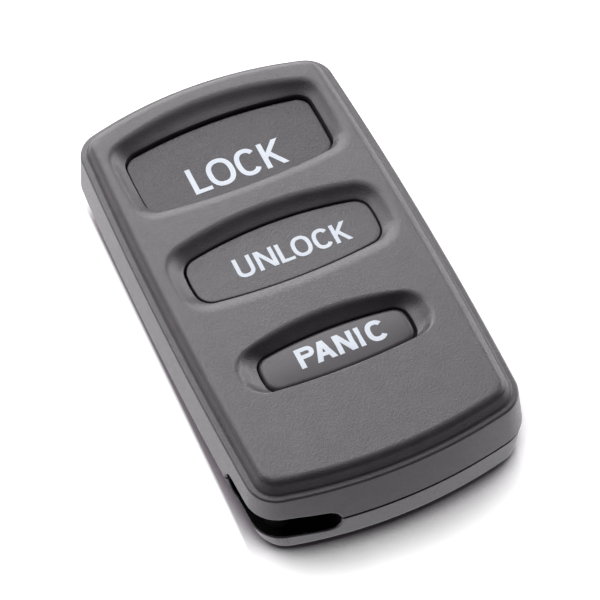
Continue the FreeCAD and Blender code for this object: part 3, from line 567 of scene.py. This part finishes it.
def front_shell():
    """The front half: leaning wall, narrow ledge, slope and raised face with three wells."""
    inside = clear_of_block(casing_rings([(FRONT_WALL, SEAT), (FRONT_WALL, PARTING)]))
    outside = casing_rings(eased(
        [(FRONT_WALL - FRONT_WALL_UNDERCUT, PARTING), (GAP_DEPTH, PARTING),
         (GAP_DEPTH, GAP_HIGH), ((GAP_HIGH - PARTING) * FRONT_LEAN, GAP_HIGH),
         (LEDGE_EDGE_INSET, LEDGE), (LEDGE_FOOT_INSET, LEDGE), (FACE_INSET, FACE),
         (FACE_INSET + FACE_MARGIN, FACE)], FRONT_EDGE_CUTS)[1:-1])
    wells = [well_rings(well) for well in KEYS]
    piece = solid(
        "front_shell",
        skin(np.concatenate([inside, outside])),
        flat(outside[-1, :, :2], [well[0, :, :2] for well in wells], FACE),
        *[skin(well) for well in wells],
        flat(inside[0, :, :2], [well[-1, :, :2] for well in wells], SEAT, faces_up=False))
    combined(piece, "DIFFERENCE", ring_pocket(), slot_mouth(0.0, FRONT_LEAN))
    combined(piece, "UNION", column(SCREW_BOSS_RADIUS, PARTING, SEAT + ROOTED, SCREW),
             *[column(BOARD_POST_RADIUS, MAT_HIGH, SEAT + ROOTED, place)
               for place in BOARD_POSTS])
    radius, high = SCREW_BOSS_HOLE
    return combined(piece, "DIFFERENCE", column(radius, PARTING - PAST, high, SCREW))


def rear_shell():
    """The rear half: flat back with round edge, bare recess and screw hole, and its tray."""
    outside = casing_rings(eased(
        [(REAR_BACK_INSET, 0.0), (REAR_FOOT_INSET, 0.0),
         (REAR_STEP + (PARTING - GAP_LOW) * REAR_LEAN, GAP_LOW), (GAP_DEPTH, GAP_LOW),
         (GAP_DEPTH, PARTING), (LIP_INSET, PARTING)], REAR_EDGE_CUTS)[1:-1])
    outside[..., 0] += rear_shift(outside[..., 0], outside[..., 2])
    inside = clear_of_block(casing_rings([(REAR_WALL_INSET, PARTING),
                                          (REAR_WALL_INSET, REAR_FLOOR)]))
    piece = solid(
        "rear_shell",
        flat(outside[0, :, :2], [], 0.0, faces_up=False),
        skin(np.concatenate([outside, inside])),
        flat(inside[-1, :, :2], [], REAR_FLOOR))
    combined(piece, "DIFFERENCE", ring_pocket(),
             slot_mouth(REAR_STEP, -REAR_LEAN, rear_shift))
    combined(piece, "UNION", column(SCREW_TUBE_RADIUS, REAR_FLOOR - ROOTED, PARTING, SCREW),
             column(RING_POST_RADIUS, POCKET_LOW - ROOTED, POCKET_HIGH, RING_POST),
             *[column(BOARD_POST_RADIUS, REAR_FLOOR - ROOTED, BOARD_LOW, place)
               for place in BOARD_POSTS])
    recess_rings = np.stack([raised(ring(RECESS), height) for height in (-PAST, RECESS_DEPTH)])
    points, faces = skin(recess_rings)
    count = len(recess_rings[0])
    head_radius, head_high = SCREW_HEAD_HOLE
    shank_radius, shank_high = SCREW_SHANK_HOLE
    combined(piece, "DIFFERENCE",
             (points, faces + [list(range(count))[::-1], list(range(count, 2 * count))]),
             column(head_radius, -PAST, head_high, SCREW),
             column(shank_radius, PAST, shank_high, SCREW))
    return joined(piece, locating_lip(), *cell_cradle())


def locating_lip():
    """The lip that stands up from the rear half inside the front one, open at the ring slot."""
    run, points, inwards = wall_run()
    reach = np.linalg.norm(points + LIP_INSET * inwards - SQUARE_CORNER, axis=-1)
    near = np.flatnonzero(reach < LIP_BLOCK_RADIUS)
    kept = np.arange(near[-1] + 1, near[0] + len(points) - 1) % (len(points) - 1)
    insets = (LIP_INSET, REAR_WALL_INSET)
    heights = (PARTING - REAR_FLOOR / 2, PARTING + LIP_HEIGHT)
    corners = [(insets[0], heights[0]), (insets[0], heights[1]),
               (insets[1], heights[1]), (insets[1], heights[0])]
    return rib(np.stack([raised(points[kept] + inset * inwards[kept], height)
                         for inset, height in corners], axis=1))


def cell_cradle():
    """Two ribs round the coin cell, with a gap at each end for its contacts."""
    inner, outer = CRADLE_RADII
    edge = math.acos(CRADLE_MOUTH / outer)
    low = REAR_FLOOR - ROOTED
    corners = [(inner, low), (outer, low), (outer, CRADLE_HIGH), (inner, CRADLE_HIGH)]
    for middle in (0.0, math.pi):
        angles = np.linspace(middle - edge, middle + edge, TURN_STEPS // 2)
        circle = np.stack([np.cos(angles), np.sin(angles)], -1)
        yield rib(np.stack([raised(CELL_CENTRE + radius * circle, height)
                            for radius, height in corners], axis=1))


def crown(cap, points):
    """How far a key's top lies below its highest level: a drum across the panic key."""
    if cap.name != "panic":
        return np.zeros(points.shape[:-1])
    across = (points[..., 0] / cap.outline.half_width) ** 2
    along = points[..., 1] - cap.along
    return np.sqrt(PANIC_CROWN ** 2 - along ** 2) - PANIC_CROWN - PANIC_DROOP * across ** 2


def key_piece(cap):
    """A hollow key: stem, hollow, flange, side and eased top edge, closed at both ends."""
    count = 4 * (EDGE_STEPS + BEND_STEPS)
    angles = np.linspace(0, 2 * math.pi, count, endpoint=False)
    first = ring(cap.outline)[0] - (0, cap.along)
    angles += math.atan2(first[1], first[0])
    circle = (0, cap.along) + STEM_RADIUS * np.stack([np.cos(angles), np.sin(angles)], -1)
    middle = np.broadcast_to((0.0, cap.along), circle.shape)
    hollow = cap.top - KEY_ROOF
    below = [raised(middle, STEM_LOW), raised(circle, STEM_LOW), raised(circle, hollow),
             raised(ring(cap.outline, KEY_WALL), hollow),
             raised(ring(cap.outline, KEY_WALL), FLANGE_LOW)]
    side = eased([(KEY_WALL, FLANGE_LOW), (-FLANGE_WIDTH, FLANGE_LOW), (-FLANGE_WIDTH, SEAT),
                  (0.0, SEAT), (0.0, cap.top), (KEY_TOP_MARGIN, cap.top)],
                 [*KEY_EDGE_CUTS, cap.edge])[1:-1]
    rings = [raised(ring(cap.outline, inset) + cap.rest, height) for inset, height in side]
    rim = rings[-1][:, :2]
    for share in np.linspace(1, 0, CAP_STEPS)[1:]:
        rings.append(raised(middle + (rim - middle) * share, cap.top))
    for level in rings:
        level[:, 2] += np.where(level[:, 2] > SEAT + CROWN_ABOVE_SEAT,
                                crown(cap, level[:, :2]), 0.0)
    return solid(f"{cap.name}_cap", skin(np.stack(below + rings)))


# How thick a level stroke is for a pen of one
LEVEL = 0.85


def ribbon(path, width):
    """A stroke of even width along a path of points, as one quad for each step."""
    path = np.asarray(path, float)
    steps = unit(path[1:] - path[:-1])
    turns = unit(np.concatenate([steps[:1], steps[1:] + steps[:-1], steps[-1:]]))
    lean = np.concatenate([np.ones(1), np.abs((turns[1:-1] * steps[1:]).sum(-1)), np.ones(1)])
    side = np.stack([-turns[:, 1], turns[:, 0]], -1) * (width / 2) / lean[:, None]
    left, right = path + side, path - side
    return list(np.stack([right[:-1], right[1:], left[1:], left[:-1]], 1))


def bowl(centre, across, along, start, end, power=2.35, steps=40):
    """Points round a squarish oval: cosine and sine of the angle, each to a power below one."""
    angles = np.radians(np.linspace(start, end, steps))
    cosine, sine = np.cos(angles), np.sin(angles)
    shape = np.stack([np.sign(cosine) * np.abs(cosine) ** (2 / power) * across,
                      np.sign(sine) * np.abs(sine) ** (2 / power) * along], -1)
    return np.asarray(centre) + shape


def bar(left, right, low, high, slant=0.0):
    """A straight stroke, whose top may be shifted across."""
    return [np.array([(left, low), (right, low), (right + slant, high), (left + slant, high)])]


def letter(sign, wide, tall, pen):
    """The strokes of one plain capital in a box of a width and a height.

    Places are shares of the box or of the pen, and bowls are squarish ovals.
    """
    half = pen / 2
    round_path = (wide / 2, tall / 2)
    if sign == "L":
        return bar(0, pen, 0, tall) + bar(0, wide, 0, pen * LEVEL)
    if sign == "I":
        return bar(0, wide, 0, tall)
    if sign == "O":
        return ribbon(bowl(round_path, wide / 2 - half, tall / 2 - half * LEVEL, 0, 360, steps=64),
                      pen)
    if sign == "C":
        return ribbon(bowl(round_path, wide / 2 - half, tall / 2 - half * LEVEL, 38, 322), pen)
    if sign == "U":
        foot = bowl((wide / 2, wide * 0.46), wide / 2 - half, wide * 0.46 - half * LEVEL,
                    180, 360)
        path = np.concatenate([[(half, tall)], foot, [(wide - half, tall)]])
        return ribbon(path, pen)
    if sign == "N":
        return (bar(0, pen, 0, tall) + bar(wide - pen, wide, 0, tall)
                + bar(wide - pen * 1.18, wide, 0, tall, slant=pen * 1.18 - wide))
    if sign == "K":
        arm = wide - pen * 1.3
        return (bar(0, pen, 0, tall)
                + [np.array([(pen * 0.9, tall * 0.36), (pen * 0.9, tall * 0.36 + pen * 1.4),
                             (arm, tall), (arm + pen * 1.25, tall)])[::-1]]
                + [np.array([(wide - pen * 1.15, 0), (wide, 0),
                             (pen * 1.75, tall * 0.63), (pen * 1.0, tall * 0.53)])])
    if sign == "A":
        foot = pen * 1.12
        peak = (wide - foot) / 2
        return (bar(0, foot, 0, tall, slant=peak) + bar(wide - foot, wide, 0, tall, slant=-peak)
                + bar(wide * 0.2, wide * 0.8, tall * 0.22, tall * 0.22 + pen * LEVEL))
    reach = tall * 0.28
    loop = bowl((wide - reach - half * 0.4, tall - reach), reach - half * 0.6, reach - half * LEVEL,
                90, -90)
    path = np.concatenate([[(half, tall - half * LEVEL)], loop,
                           [(half, tall - 2 * reach + half * LEVEL)]])
    return bar(0, pen, 0, tall) + ribbon(path, pen * 0.92)


# For each key: the letters' height, pen, tilt and base line, and each letter's left and right
LEGENDS = (
    (LOCK, 4.0, 0.64, 0.006, 14.28,
     (("L", -5.87, -3.65), ("O", -3.6, -0.25), ("C", 0.05, 3.0), ("K", 3.35, 6.15))),
    (UNLOCK, 2.85, 0.5, 0.02, 0.5,
     (("U", -6.03, -3.85), ("N", -3.4, -1.07), ("L", -0.72, 1.0), ("O", 1.05, 3.45),
      ("C", 3.72, 5.95), ("K", 6.15, 8.2))),
    (PANIC, 2.75, 0.61, 0.01, -14.28,
     (("P", -4.7, -2.5), ("A", -2.75, -0.3), ("N", -0.05, 2.22), ("I", 2.62, 3.2),
      ("C", 3.75, 6.15))),
)
INK = 0.02
INK_GAP = 0.004
INK_GRID = 0.25
OVERSHOOT = 0.03


def legend(cap, tall, pen, tilt, base, signs):
    """Printed capitals on a key: merged flat strokes, laid on the key's top and given a rim."""
    strokes = []
    for sign, left, right in signs:
        shift = np.array((left, base - tilt * left))
        over = OVERSHOOT * tall if sign in "OCU" else 0.0
        for stroke in letter(sign, right - left, tall + over, pen):
            strokes.append(stroke + shift - (0, over / 2 if sign != "U" else over))
    counts = np.cumsum([0] + [len(stroke) for stroke in strokes]).tolist()
    sources = [list(range(start, end)) for start, end in zip(counts[:-1], counts[1:])]
    outer = np.concatenate(strokes)
    grid = np.stack(np.meshgrid(np.arange(outer[:, 0].min(), outer[:, 0].max(), INK_GRID),
                                np.arange(outer[:, 1].min(), outer[:, 1].max(), INK_GRID)),
                    -1).reshape(-1, 2)
    points, _, triangles, _, _, inside = delaunay_2d_cdt(
        [Vector(point) for point in np.concatenate([outer, grid])], [], sources, 0, 1e-4)
    triangles = np.array([face for face, within in zip(triangles, inside) if within])
    used, triangles = np.unique(triangles, return_inverse=True)
    plan, triangles = np.array(points)[used], triangles.reshape(-1, 3)
    height = cap.top + crown(cap, plan) + INK_GAP
    sides = np.concatenate([triangles, np.roll(triangles, -1, axis=1)]).reshape(2, -1).T
    edge_key = np.sort(sides, axis=1)
    _, index, counts = np.unique(edge_key, axis=0, return_index=True, return_counts=True)
    rim = sides[index[counts == 1]]
    size = len(plan)
    walls = np.stack([rim[:, 1], rim[:, 0], rim[:, 0] + size, rim[:, 1] + size], -1)
    points = np.concatenate([raised(plan, height + INK), raised(plan, height)])
    faces = triangles.tolist() + (triangles[:, ::-1] + size).tolist() + walls.tolist()
    return solid(f"{cap.name}_legend", (points, faces))


def nodes_of(name):
    """A new material with its node tree and its shader."""
    material = bpy.data.materials.new(name)
    material.use_nodes = True
    tree = material.node_tree
    return material, tree, tree.nodes["Principled BSDF"]


def feed(tree, place, value):
    """A node's input, set to a number or linked to another node's output."""
    if isinstance(value, bpy.types.NodeSocket):
        tree.links.new(value, place)
    else:
        place.default_value = value


def ramp(tree, value, start, end, low=0.0, high=1.0, shape="LINEAR"):
    """A value carried from the span start to end over to low to high, and held past its ends."""
    made = tree.nodes.new("ShaderNodeMapRange")
    made.interpolation_type = shape
    for name, given in (("Value", value), ("From Min", start), ("From Max", end),
                        ("To Min", low), ("To Max", high)):
        feed(tree, made.inputs[name], given)
    return made.outputs["Result"]


def worked_out(tree, operation, *values):
    """The result of an operation on some values."""
    made = tree.nodes.new("ShaderNodeMath")
    made.operation = operation
    for place, given in zip(made.inputs, values):
        feed(tree, place, given)
    return made.outputs["Value"]


def blend(tree, share, first, second):
    """The first colour turning into the second as the share goes from 0 to 1."""
    made = tree.nodes.new("ShaderNodeMix")
    made.data_type = "RGBA"
    made.inputs["A"].default_value = (*first, 1.0)
    made.inputs["B"].default_value = (*second, 1.0)
    feed(tree, made.inputs["Factor"], share)
    return made.outputs["Result"]


def noise(tree, place, scale, **settings):
    """Clouds of a scale for each metre at a place."""
    made = tree.nodes.new("ShaderNodeTexNoise")
    made.inputs["Scale"].default_value = scale
    for name, given in settings.items():
        made.inputs[name].default_value = given
    tree.links.new(place, made.inputs["Vector"])
    return made.outputs["Fac"]


def along_axes(tree, way):
    """The X, Y and Z of a texture coordinate."""
    made = tree.nodes.new("ShaderNodeSeparateXYZ")
    tree.links.new(tree.nodes.new("ShaderNodeTexCoord").outputs[way], made.inputs["Vector"])
    return made.outputs


CLOUD_SCALE = 420.0
NOISE_SPAN = (0.3, 0.7)


def moulded(name, colour, mottle, roughness, spread, grain, depth, specular=0.5,
            metallic=0.0, stretch=(1.0, 1.0, 1.0)):
    """A finish with cloudy colour, grain in its roughness and a fine bump.

    colour and mottle are its two tones, grain is the number of grains in a millimetre, depth
    the bump in millimetres and stretch turns the grain into brush marks.
    """
    material, tree, shader = nodes_of(name)
    turn = tree.nodes.new("ShaderNodeMapping")
    turn.inputs["Scale"].default_value = stretch
    tree.links.new(tree.nodes.new("ShaderNodeTexCoord").outputs["Object"], turn.inputs["Vector"])
    place = turn.outputs["Vector"]
    cloud = noise(tree, place, CLOUD_SCALE, Detail=8.0, Roughness=0.65)
    fine = noise(tree, place, grain / MM, Detail=2.5)
    bump = tree.nodes.new("ShaderNodeBump")
    bump.inputs["Strength"].default_value = 1.0
    bump.inputs["Distance"].default_value = depth * MM
    tree.links.new(fine, bump.inputs["Height"])
    tree.links.new(bump.outputs["Normal"], shader.inputs["Normal"])
    tone = blend(tree, ramp(tree, cloud, *NOISE_SPAN), colour, mottle)
    tree.links.new(tone, shader.inputs["Base Color"])
    rough = ramp(tree, fine, *NOISE_SPAN, roughness - spread, roughness + spread)
    tree.links.new(rough, shader.inputs["Roughness"])
    shader.inputs["Metallic"].default_value = metallic
    shader.inputs["Specular IOR Level"].default_value = specular
    return material


casing_plastic = moulded("casing_plastic", (0.058, 0.050, 0.061), (0.079, 0.069, 0.083),
                         0.42, 0.08, 5.0, 0.028, specular=0.88)
# The ring slot's inside is the casing's plastic, painted near black as painted shade deep in the
# slot.
pocket_painted_shade = moulded("pocket_painted_shade", (0.004, 0.004, 0.005), (0.008, 0.007, 0.008),
                         0.85, 0.1, 4.5, 0.03, specular=0.05)
key_plastic = moulded("key_plastic", (0.051, 0.044, 0.054), (0.069, 0.061, 0.073),
                      0.42, 0.09, 4.8, 0.034, specular=0.84)
# The lock key is the same plastic as the other keys; this darker copy with less sheen is painted
# shade on it.
lock_plastic_painted_shade = moulded("lock_plastic_painted_shade", (0.043, 0.037, 0.046), (0.06, 0.052, 0.064),
                       0.42, 0.09, 4.8, 0.034, specular=0.62)
panic_plastic = moulded("panic_plastic", (0.052, 0.044, 0.055), (0.068, 0.059, 0.072),
                        0.36, 0.05, 5.0, 0.012, specular=0.7)
legend_ink = moulded("legend_ink", (0.81, 0.86, 0.98), (0.89, 0.94, 1.0), 0.55, 0.05, 9.0, 0.003,
                     specular=0.3)
mat_rubber = moulded("mat_rubber", (0.02, 0.02, 0.021), (0.04, 0.04, 0.042), 0.75, 0.1, 3.0, 0.01)
board_laminate = moulded("board_laminate", (0.01, 0.09, 0.03), (0.02, 0.16, 0.06),
                         0.35, 0.1, 2.0, 0.01)
chip_plastic = moulded("chip_plastic", (0.012, 0.012, 0.013), (0.03, 0.03, 0.03),
                       0.6, 0.1, 6.0, 0.01)
switch_plastic = moulded("switch_plastic", (0.015, 0.015, 0.016), (0.035, 0.035, 0.036),
                         0.5, 0.1, 6.0, 0.008)
plunger_plastic = moulded("plunger_plastic", (0.35, 0.04, 0.03), (0.5, 0.07, 0.05),
                          0.45, 0.08, 6.0, 0.006)
cell_steel = moulded("cell_steel", (0.55, 0.55, 0.56), (0.75, 0.75, 0.76), 0.28, 0.08, 8.0, 0.002,
                     metallic=1.0, stretch=(1.0, 0.08, 1.0))
spring_steel = moulded("spring_steel", (0.5, 0.48, 0.42), (0.66, 0.64, 0.58), 0.3, 0.08, 8.0,
                       0.002, metallic=1.0, stretch=(0.1, 1.0, 1.0))
resonator_steel = moulded("resonator_steel", (0.6, 0.6, 0.6), (0.74, 0.74, 0.74), 0.25, 0.06,
                          5.0, 0.002, metallic=1.0)
aerial_copper = moulded("aerial_copper", (0.7, 0.35, 0.2), (0.85, 0.5, 0.32), 0.3, 0.08, 6.0,
                        0.002, metallic=1.0)
ceramic = moulded("ceramic", (0.45, 0.33, 0.2), (0.6, 0.48, 0.32), 0.5, 0.1, 5.0, 0.005)
screw_steel = moulded("screw_steel", (0.12, 0.12, 0.125), (0.2, 0.2, 0.21), 0.35, 0.1, 7.0,
                      0.004, metallic=1.0)

for half, slot, node in ((front_shell(), "front_casing", "front_cover"),
                         (rear_shell(), "rear_casing", "rear_cover")):
    finished(half, "casing", slot, casing_plastic, node)
    # Faces deep in the ring slot get the near-black painted shade.
    half.data.materials.append(pocket_painted_shade)
    half.data.polygons.foreach_set("material_index", painted_pocket_shade_faces(half).astype(int))
for cap, plastic in ((LOCK, lock_plastic_painted_shade), (UNLOCK, key_plastic), (PANIC, panic_plastic)):
    finished(key_piece(cap), f"{cap.name}_key", "key_plastic", plastic, f"{cap.name}_key")
for cap, *lettering in LEGENDS:
    finished(legend(cap, *lettering), f"{cap.name}_key", "legend_ink", legend_ink)

CARRIED_OVER = {
    "positive_contact": spring_steel, "negative_contact": spring_steel, "coin_cell": cell_steel,
    "circuit_board": board_laminate, "control_chip": chip_plastic, "resonator": resonator_steel,
    "aerial_loop": aerial_copper, "chip_capacitors": ceramic, "chip_resistors": chip_plastic,
    "key_mat": mat_rubber, "case_screw": screw_steel,
}
for cap in KEYS:
    CARRIED_OVER[f"{cap.name}_switch"] = switch_plastic
    CARRIED_OVER[f"{cap.name}_plunger"] = plunger_plastic
    CARRIED_OVER[f"{cap.name}_snap_dome"] = spring_steel
    CARRIED_OVER[f"{cap.name}_rubber_dome"] = mat_rubber
for name, material in CARRIED_OVER.items():
    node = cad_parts[name]
    if not node.material_slots:
        node.data.materials.append(material)
    for place in node.material_slots:
        place.material = material

FLOOR_SIZE = 4.0
PAPER_SHADED = (0.34, 0.29, 0.34)
PAPER_OPEN = (0.84, 0.81, 0.84)
# How far off, in metres, things still hide the sky from the floor, and which shares of open
# sky the floor's shade fades over
SHADE_REACH = 0.012
SHADE_SPAN = (0.46, 0.8)
# Where the floor is open again left of the fob, for the metre across, and how much that line
# slants for each metre along
LEFT_SPAN = (-0.01665, -0.01715)
LEFT_SLANT = -0.014
# Where the floor that the fob mirrors fades in: metres along from the front, across from the left
MIRROR_FRONT_SPAN = (-0.048, -0.031)
MIRROR_LEFT_SPAN = (-0.048, -0.03)
SKY_FRONT = 0.03
SKY_BACK = 0.05
SKY_SPAN = (-0.4, 0.4)
HORIZON_SPAN = (0.02, -0.02)


def paper():
    """The floor's pale paper, white to the eye where it lies open and shaded near the fob.

    How open a spot is, is the larger of two shares: how much sky it has, and how far it lies
    left of the fob. It glows by that share to the camera, and to what mirrors it by the share
    that fades out towards the front and the left.
    """
    material, tree, shader = nodes_of("paper")
    shader.inputs["Roughness"].default_value = 0.9
    shader.inputs["Specular IOR Level"].default_value = 0.1
    across, along, _ = along_axes(tree, "Object")
    ray = tree.nodes.new("ShaderNodeLightPath").outputs
    sky = tree.nodes.new("ShaderNodeAmbientOcclusion")
    sky.samples = 16
    sky.inputs["Distance"].default_value = SHADE_REACH
    slanted = worked_out(tree, "MULTIPLY_ADD", along, LEFT_SLANT, across)
    is_open = worked_out(tree, "MAXIMUM", ramp(tree, sky.outputs["AO"], *SHADE_SPAN),
                         ramp(tree, slanted, *LEFT_SPAN))
    seen = worked_out(tree, "MULTIPLY", ray["Is Camera Ray"], is_open)
    near = worked_out(tree, "MULTIPLY", ramp(tree, along, *MIRROR_FRONT_SPAN),
                      ramp(tree, across, *MIRROR_LEFT_SPAN))
    mirrored = worked_out(tree, "MULTIPLY", ray["Is Glossy Ray"], near)
    tree.links.new(blend(tree, is_open, PAPER_SHADED, PAPER_OPEN), shader.inputs["Base Color"])
    tree.links.new(worked_out(tree, "MAXIMUM", seen, mirrored),
                   shader.inputs["Emission Strength"])
    shader.inputs["Emission Color"].default_value = (1.0, 1.0, 1.0, 1.0)
    return material


def studio():
    """The room's light: faint above, a little stronger towards the back, and white below."""
    world = bpy.data.worlds.new("studio")
    world.use_nodes = True
    tree = world.node_tree
    sky = tree.nodes["Background"]
    _, back, up = along_axes(tree, "Generated")
    above = ramp(tree, back, *SKY_SPAN, SKY_FRONT, SKY_BACK, shape="SMOOTHSTEP")
    tree.links.new(ramp(tree, up, *HORIZON_SPAN, above, 1.0), sky.inputs["Strength"])
    sky.inputs["Color"].default_value = (1.0, 1.0, 1.0, 1.0)
    return world


floor_mesh = bpy.data.meshes.new("floor")
edge = FLOOR_SIZE / 2
floor_mesh.from_pydata([(-edge, -edge, 0), (edge, -edge, 0), (edge, edge, 0), (-edge, edge, 0)],
                       [], [(0, 1, 2, 3)])
floor_mesh.materials.append(paper())
floor = bpy.data.objects.new("floor", floor_mesh)
bpy.context.scene.collection.objects.link(floor)
bpy.context.scene.world = studio()


def softbox(name, azimuth, elevation, width, height, power):
    """A soft light one metre from the fob, at degrees from +Y towards +X and up."""
    lamp = bpy.data.lights.new(name, "AREA")
    lamp.shape = "RECTANGLE"
    lamp.size = width
    lamp.size_y = height
    lamp.energy = power
    light = bpy.data.objects.new(name, lamp)
    across, up = math.radians(azimuth), math.radians(elevation)
    toward = Vector((math.sin(across) * math.cos(up), math.cos(across) * math.cos(up),
                     math.sin(up)))
    light.location = toward
    light.rotation_euler = toward.to_track_quat("Z", "Y").to_euler()
    bpy.context.scene.collection.objects.link(light)


# Name, degrees round and up, width and height in metres, and watts
LIGHTS = (
    ("low_back", 0, 16, 1.2, 0.35, 4.6),
    ("mid_back", 0, 34, 1.2, 0.35, 4.0),
    ("high_back", -14, 54, 1.2, 0.35, 4.3),
    ("right", 70, 22, 0.9, 0.45, 5.3),
    ("left_back", -50, 20, 0.9, 0.45, 1.2),
    ("top", 0, 82, 0.6, 0.6, 1.1),
)
for setting in LIGHTS:
    softbox(*setting)

lens = bpy.data.cameras.new("camera")
lens.sensor_width = 36.0
lens.lens = 156.0
lens.clip_start = 0.01
lens.clip_end = 20.0
camera = bpy.data.objects.new("camera", lens)
camera.location = (-0.061483, -0.168835, 0.252494)
camera.rotation_euler = tuple(math.radians(turn) for turn in (35.8221, 2.4795, -23.6965))
bpy.context.scene.collection.objects.link(camera)
bpy.context.scene.camera = camera
bpy.context.scene.view_settings.view_transform = "Standard"
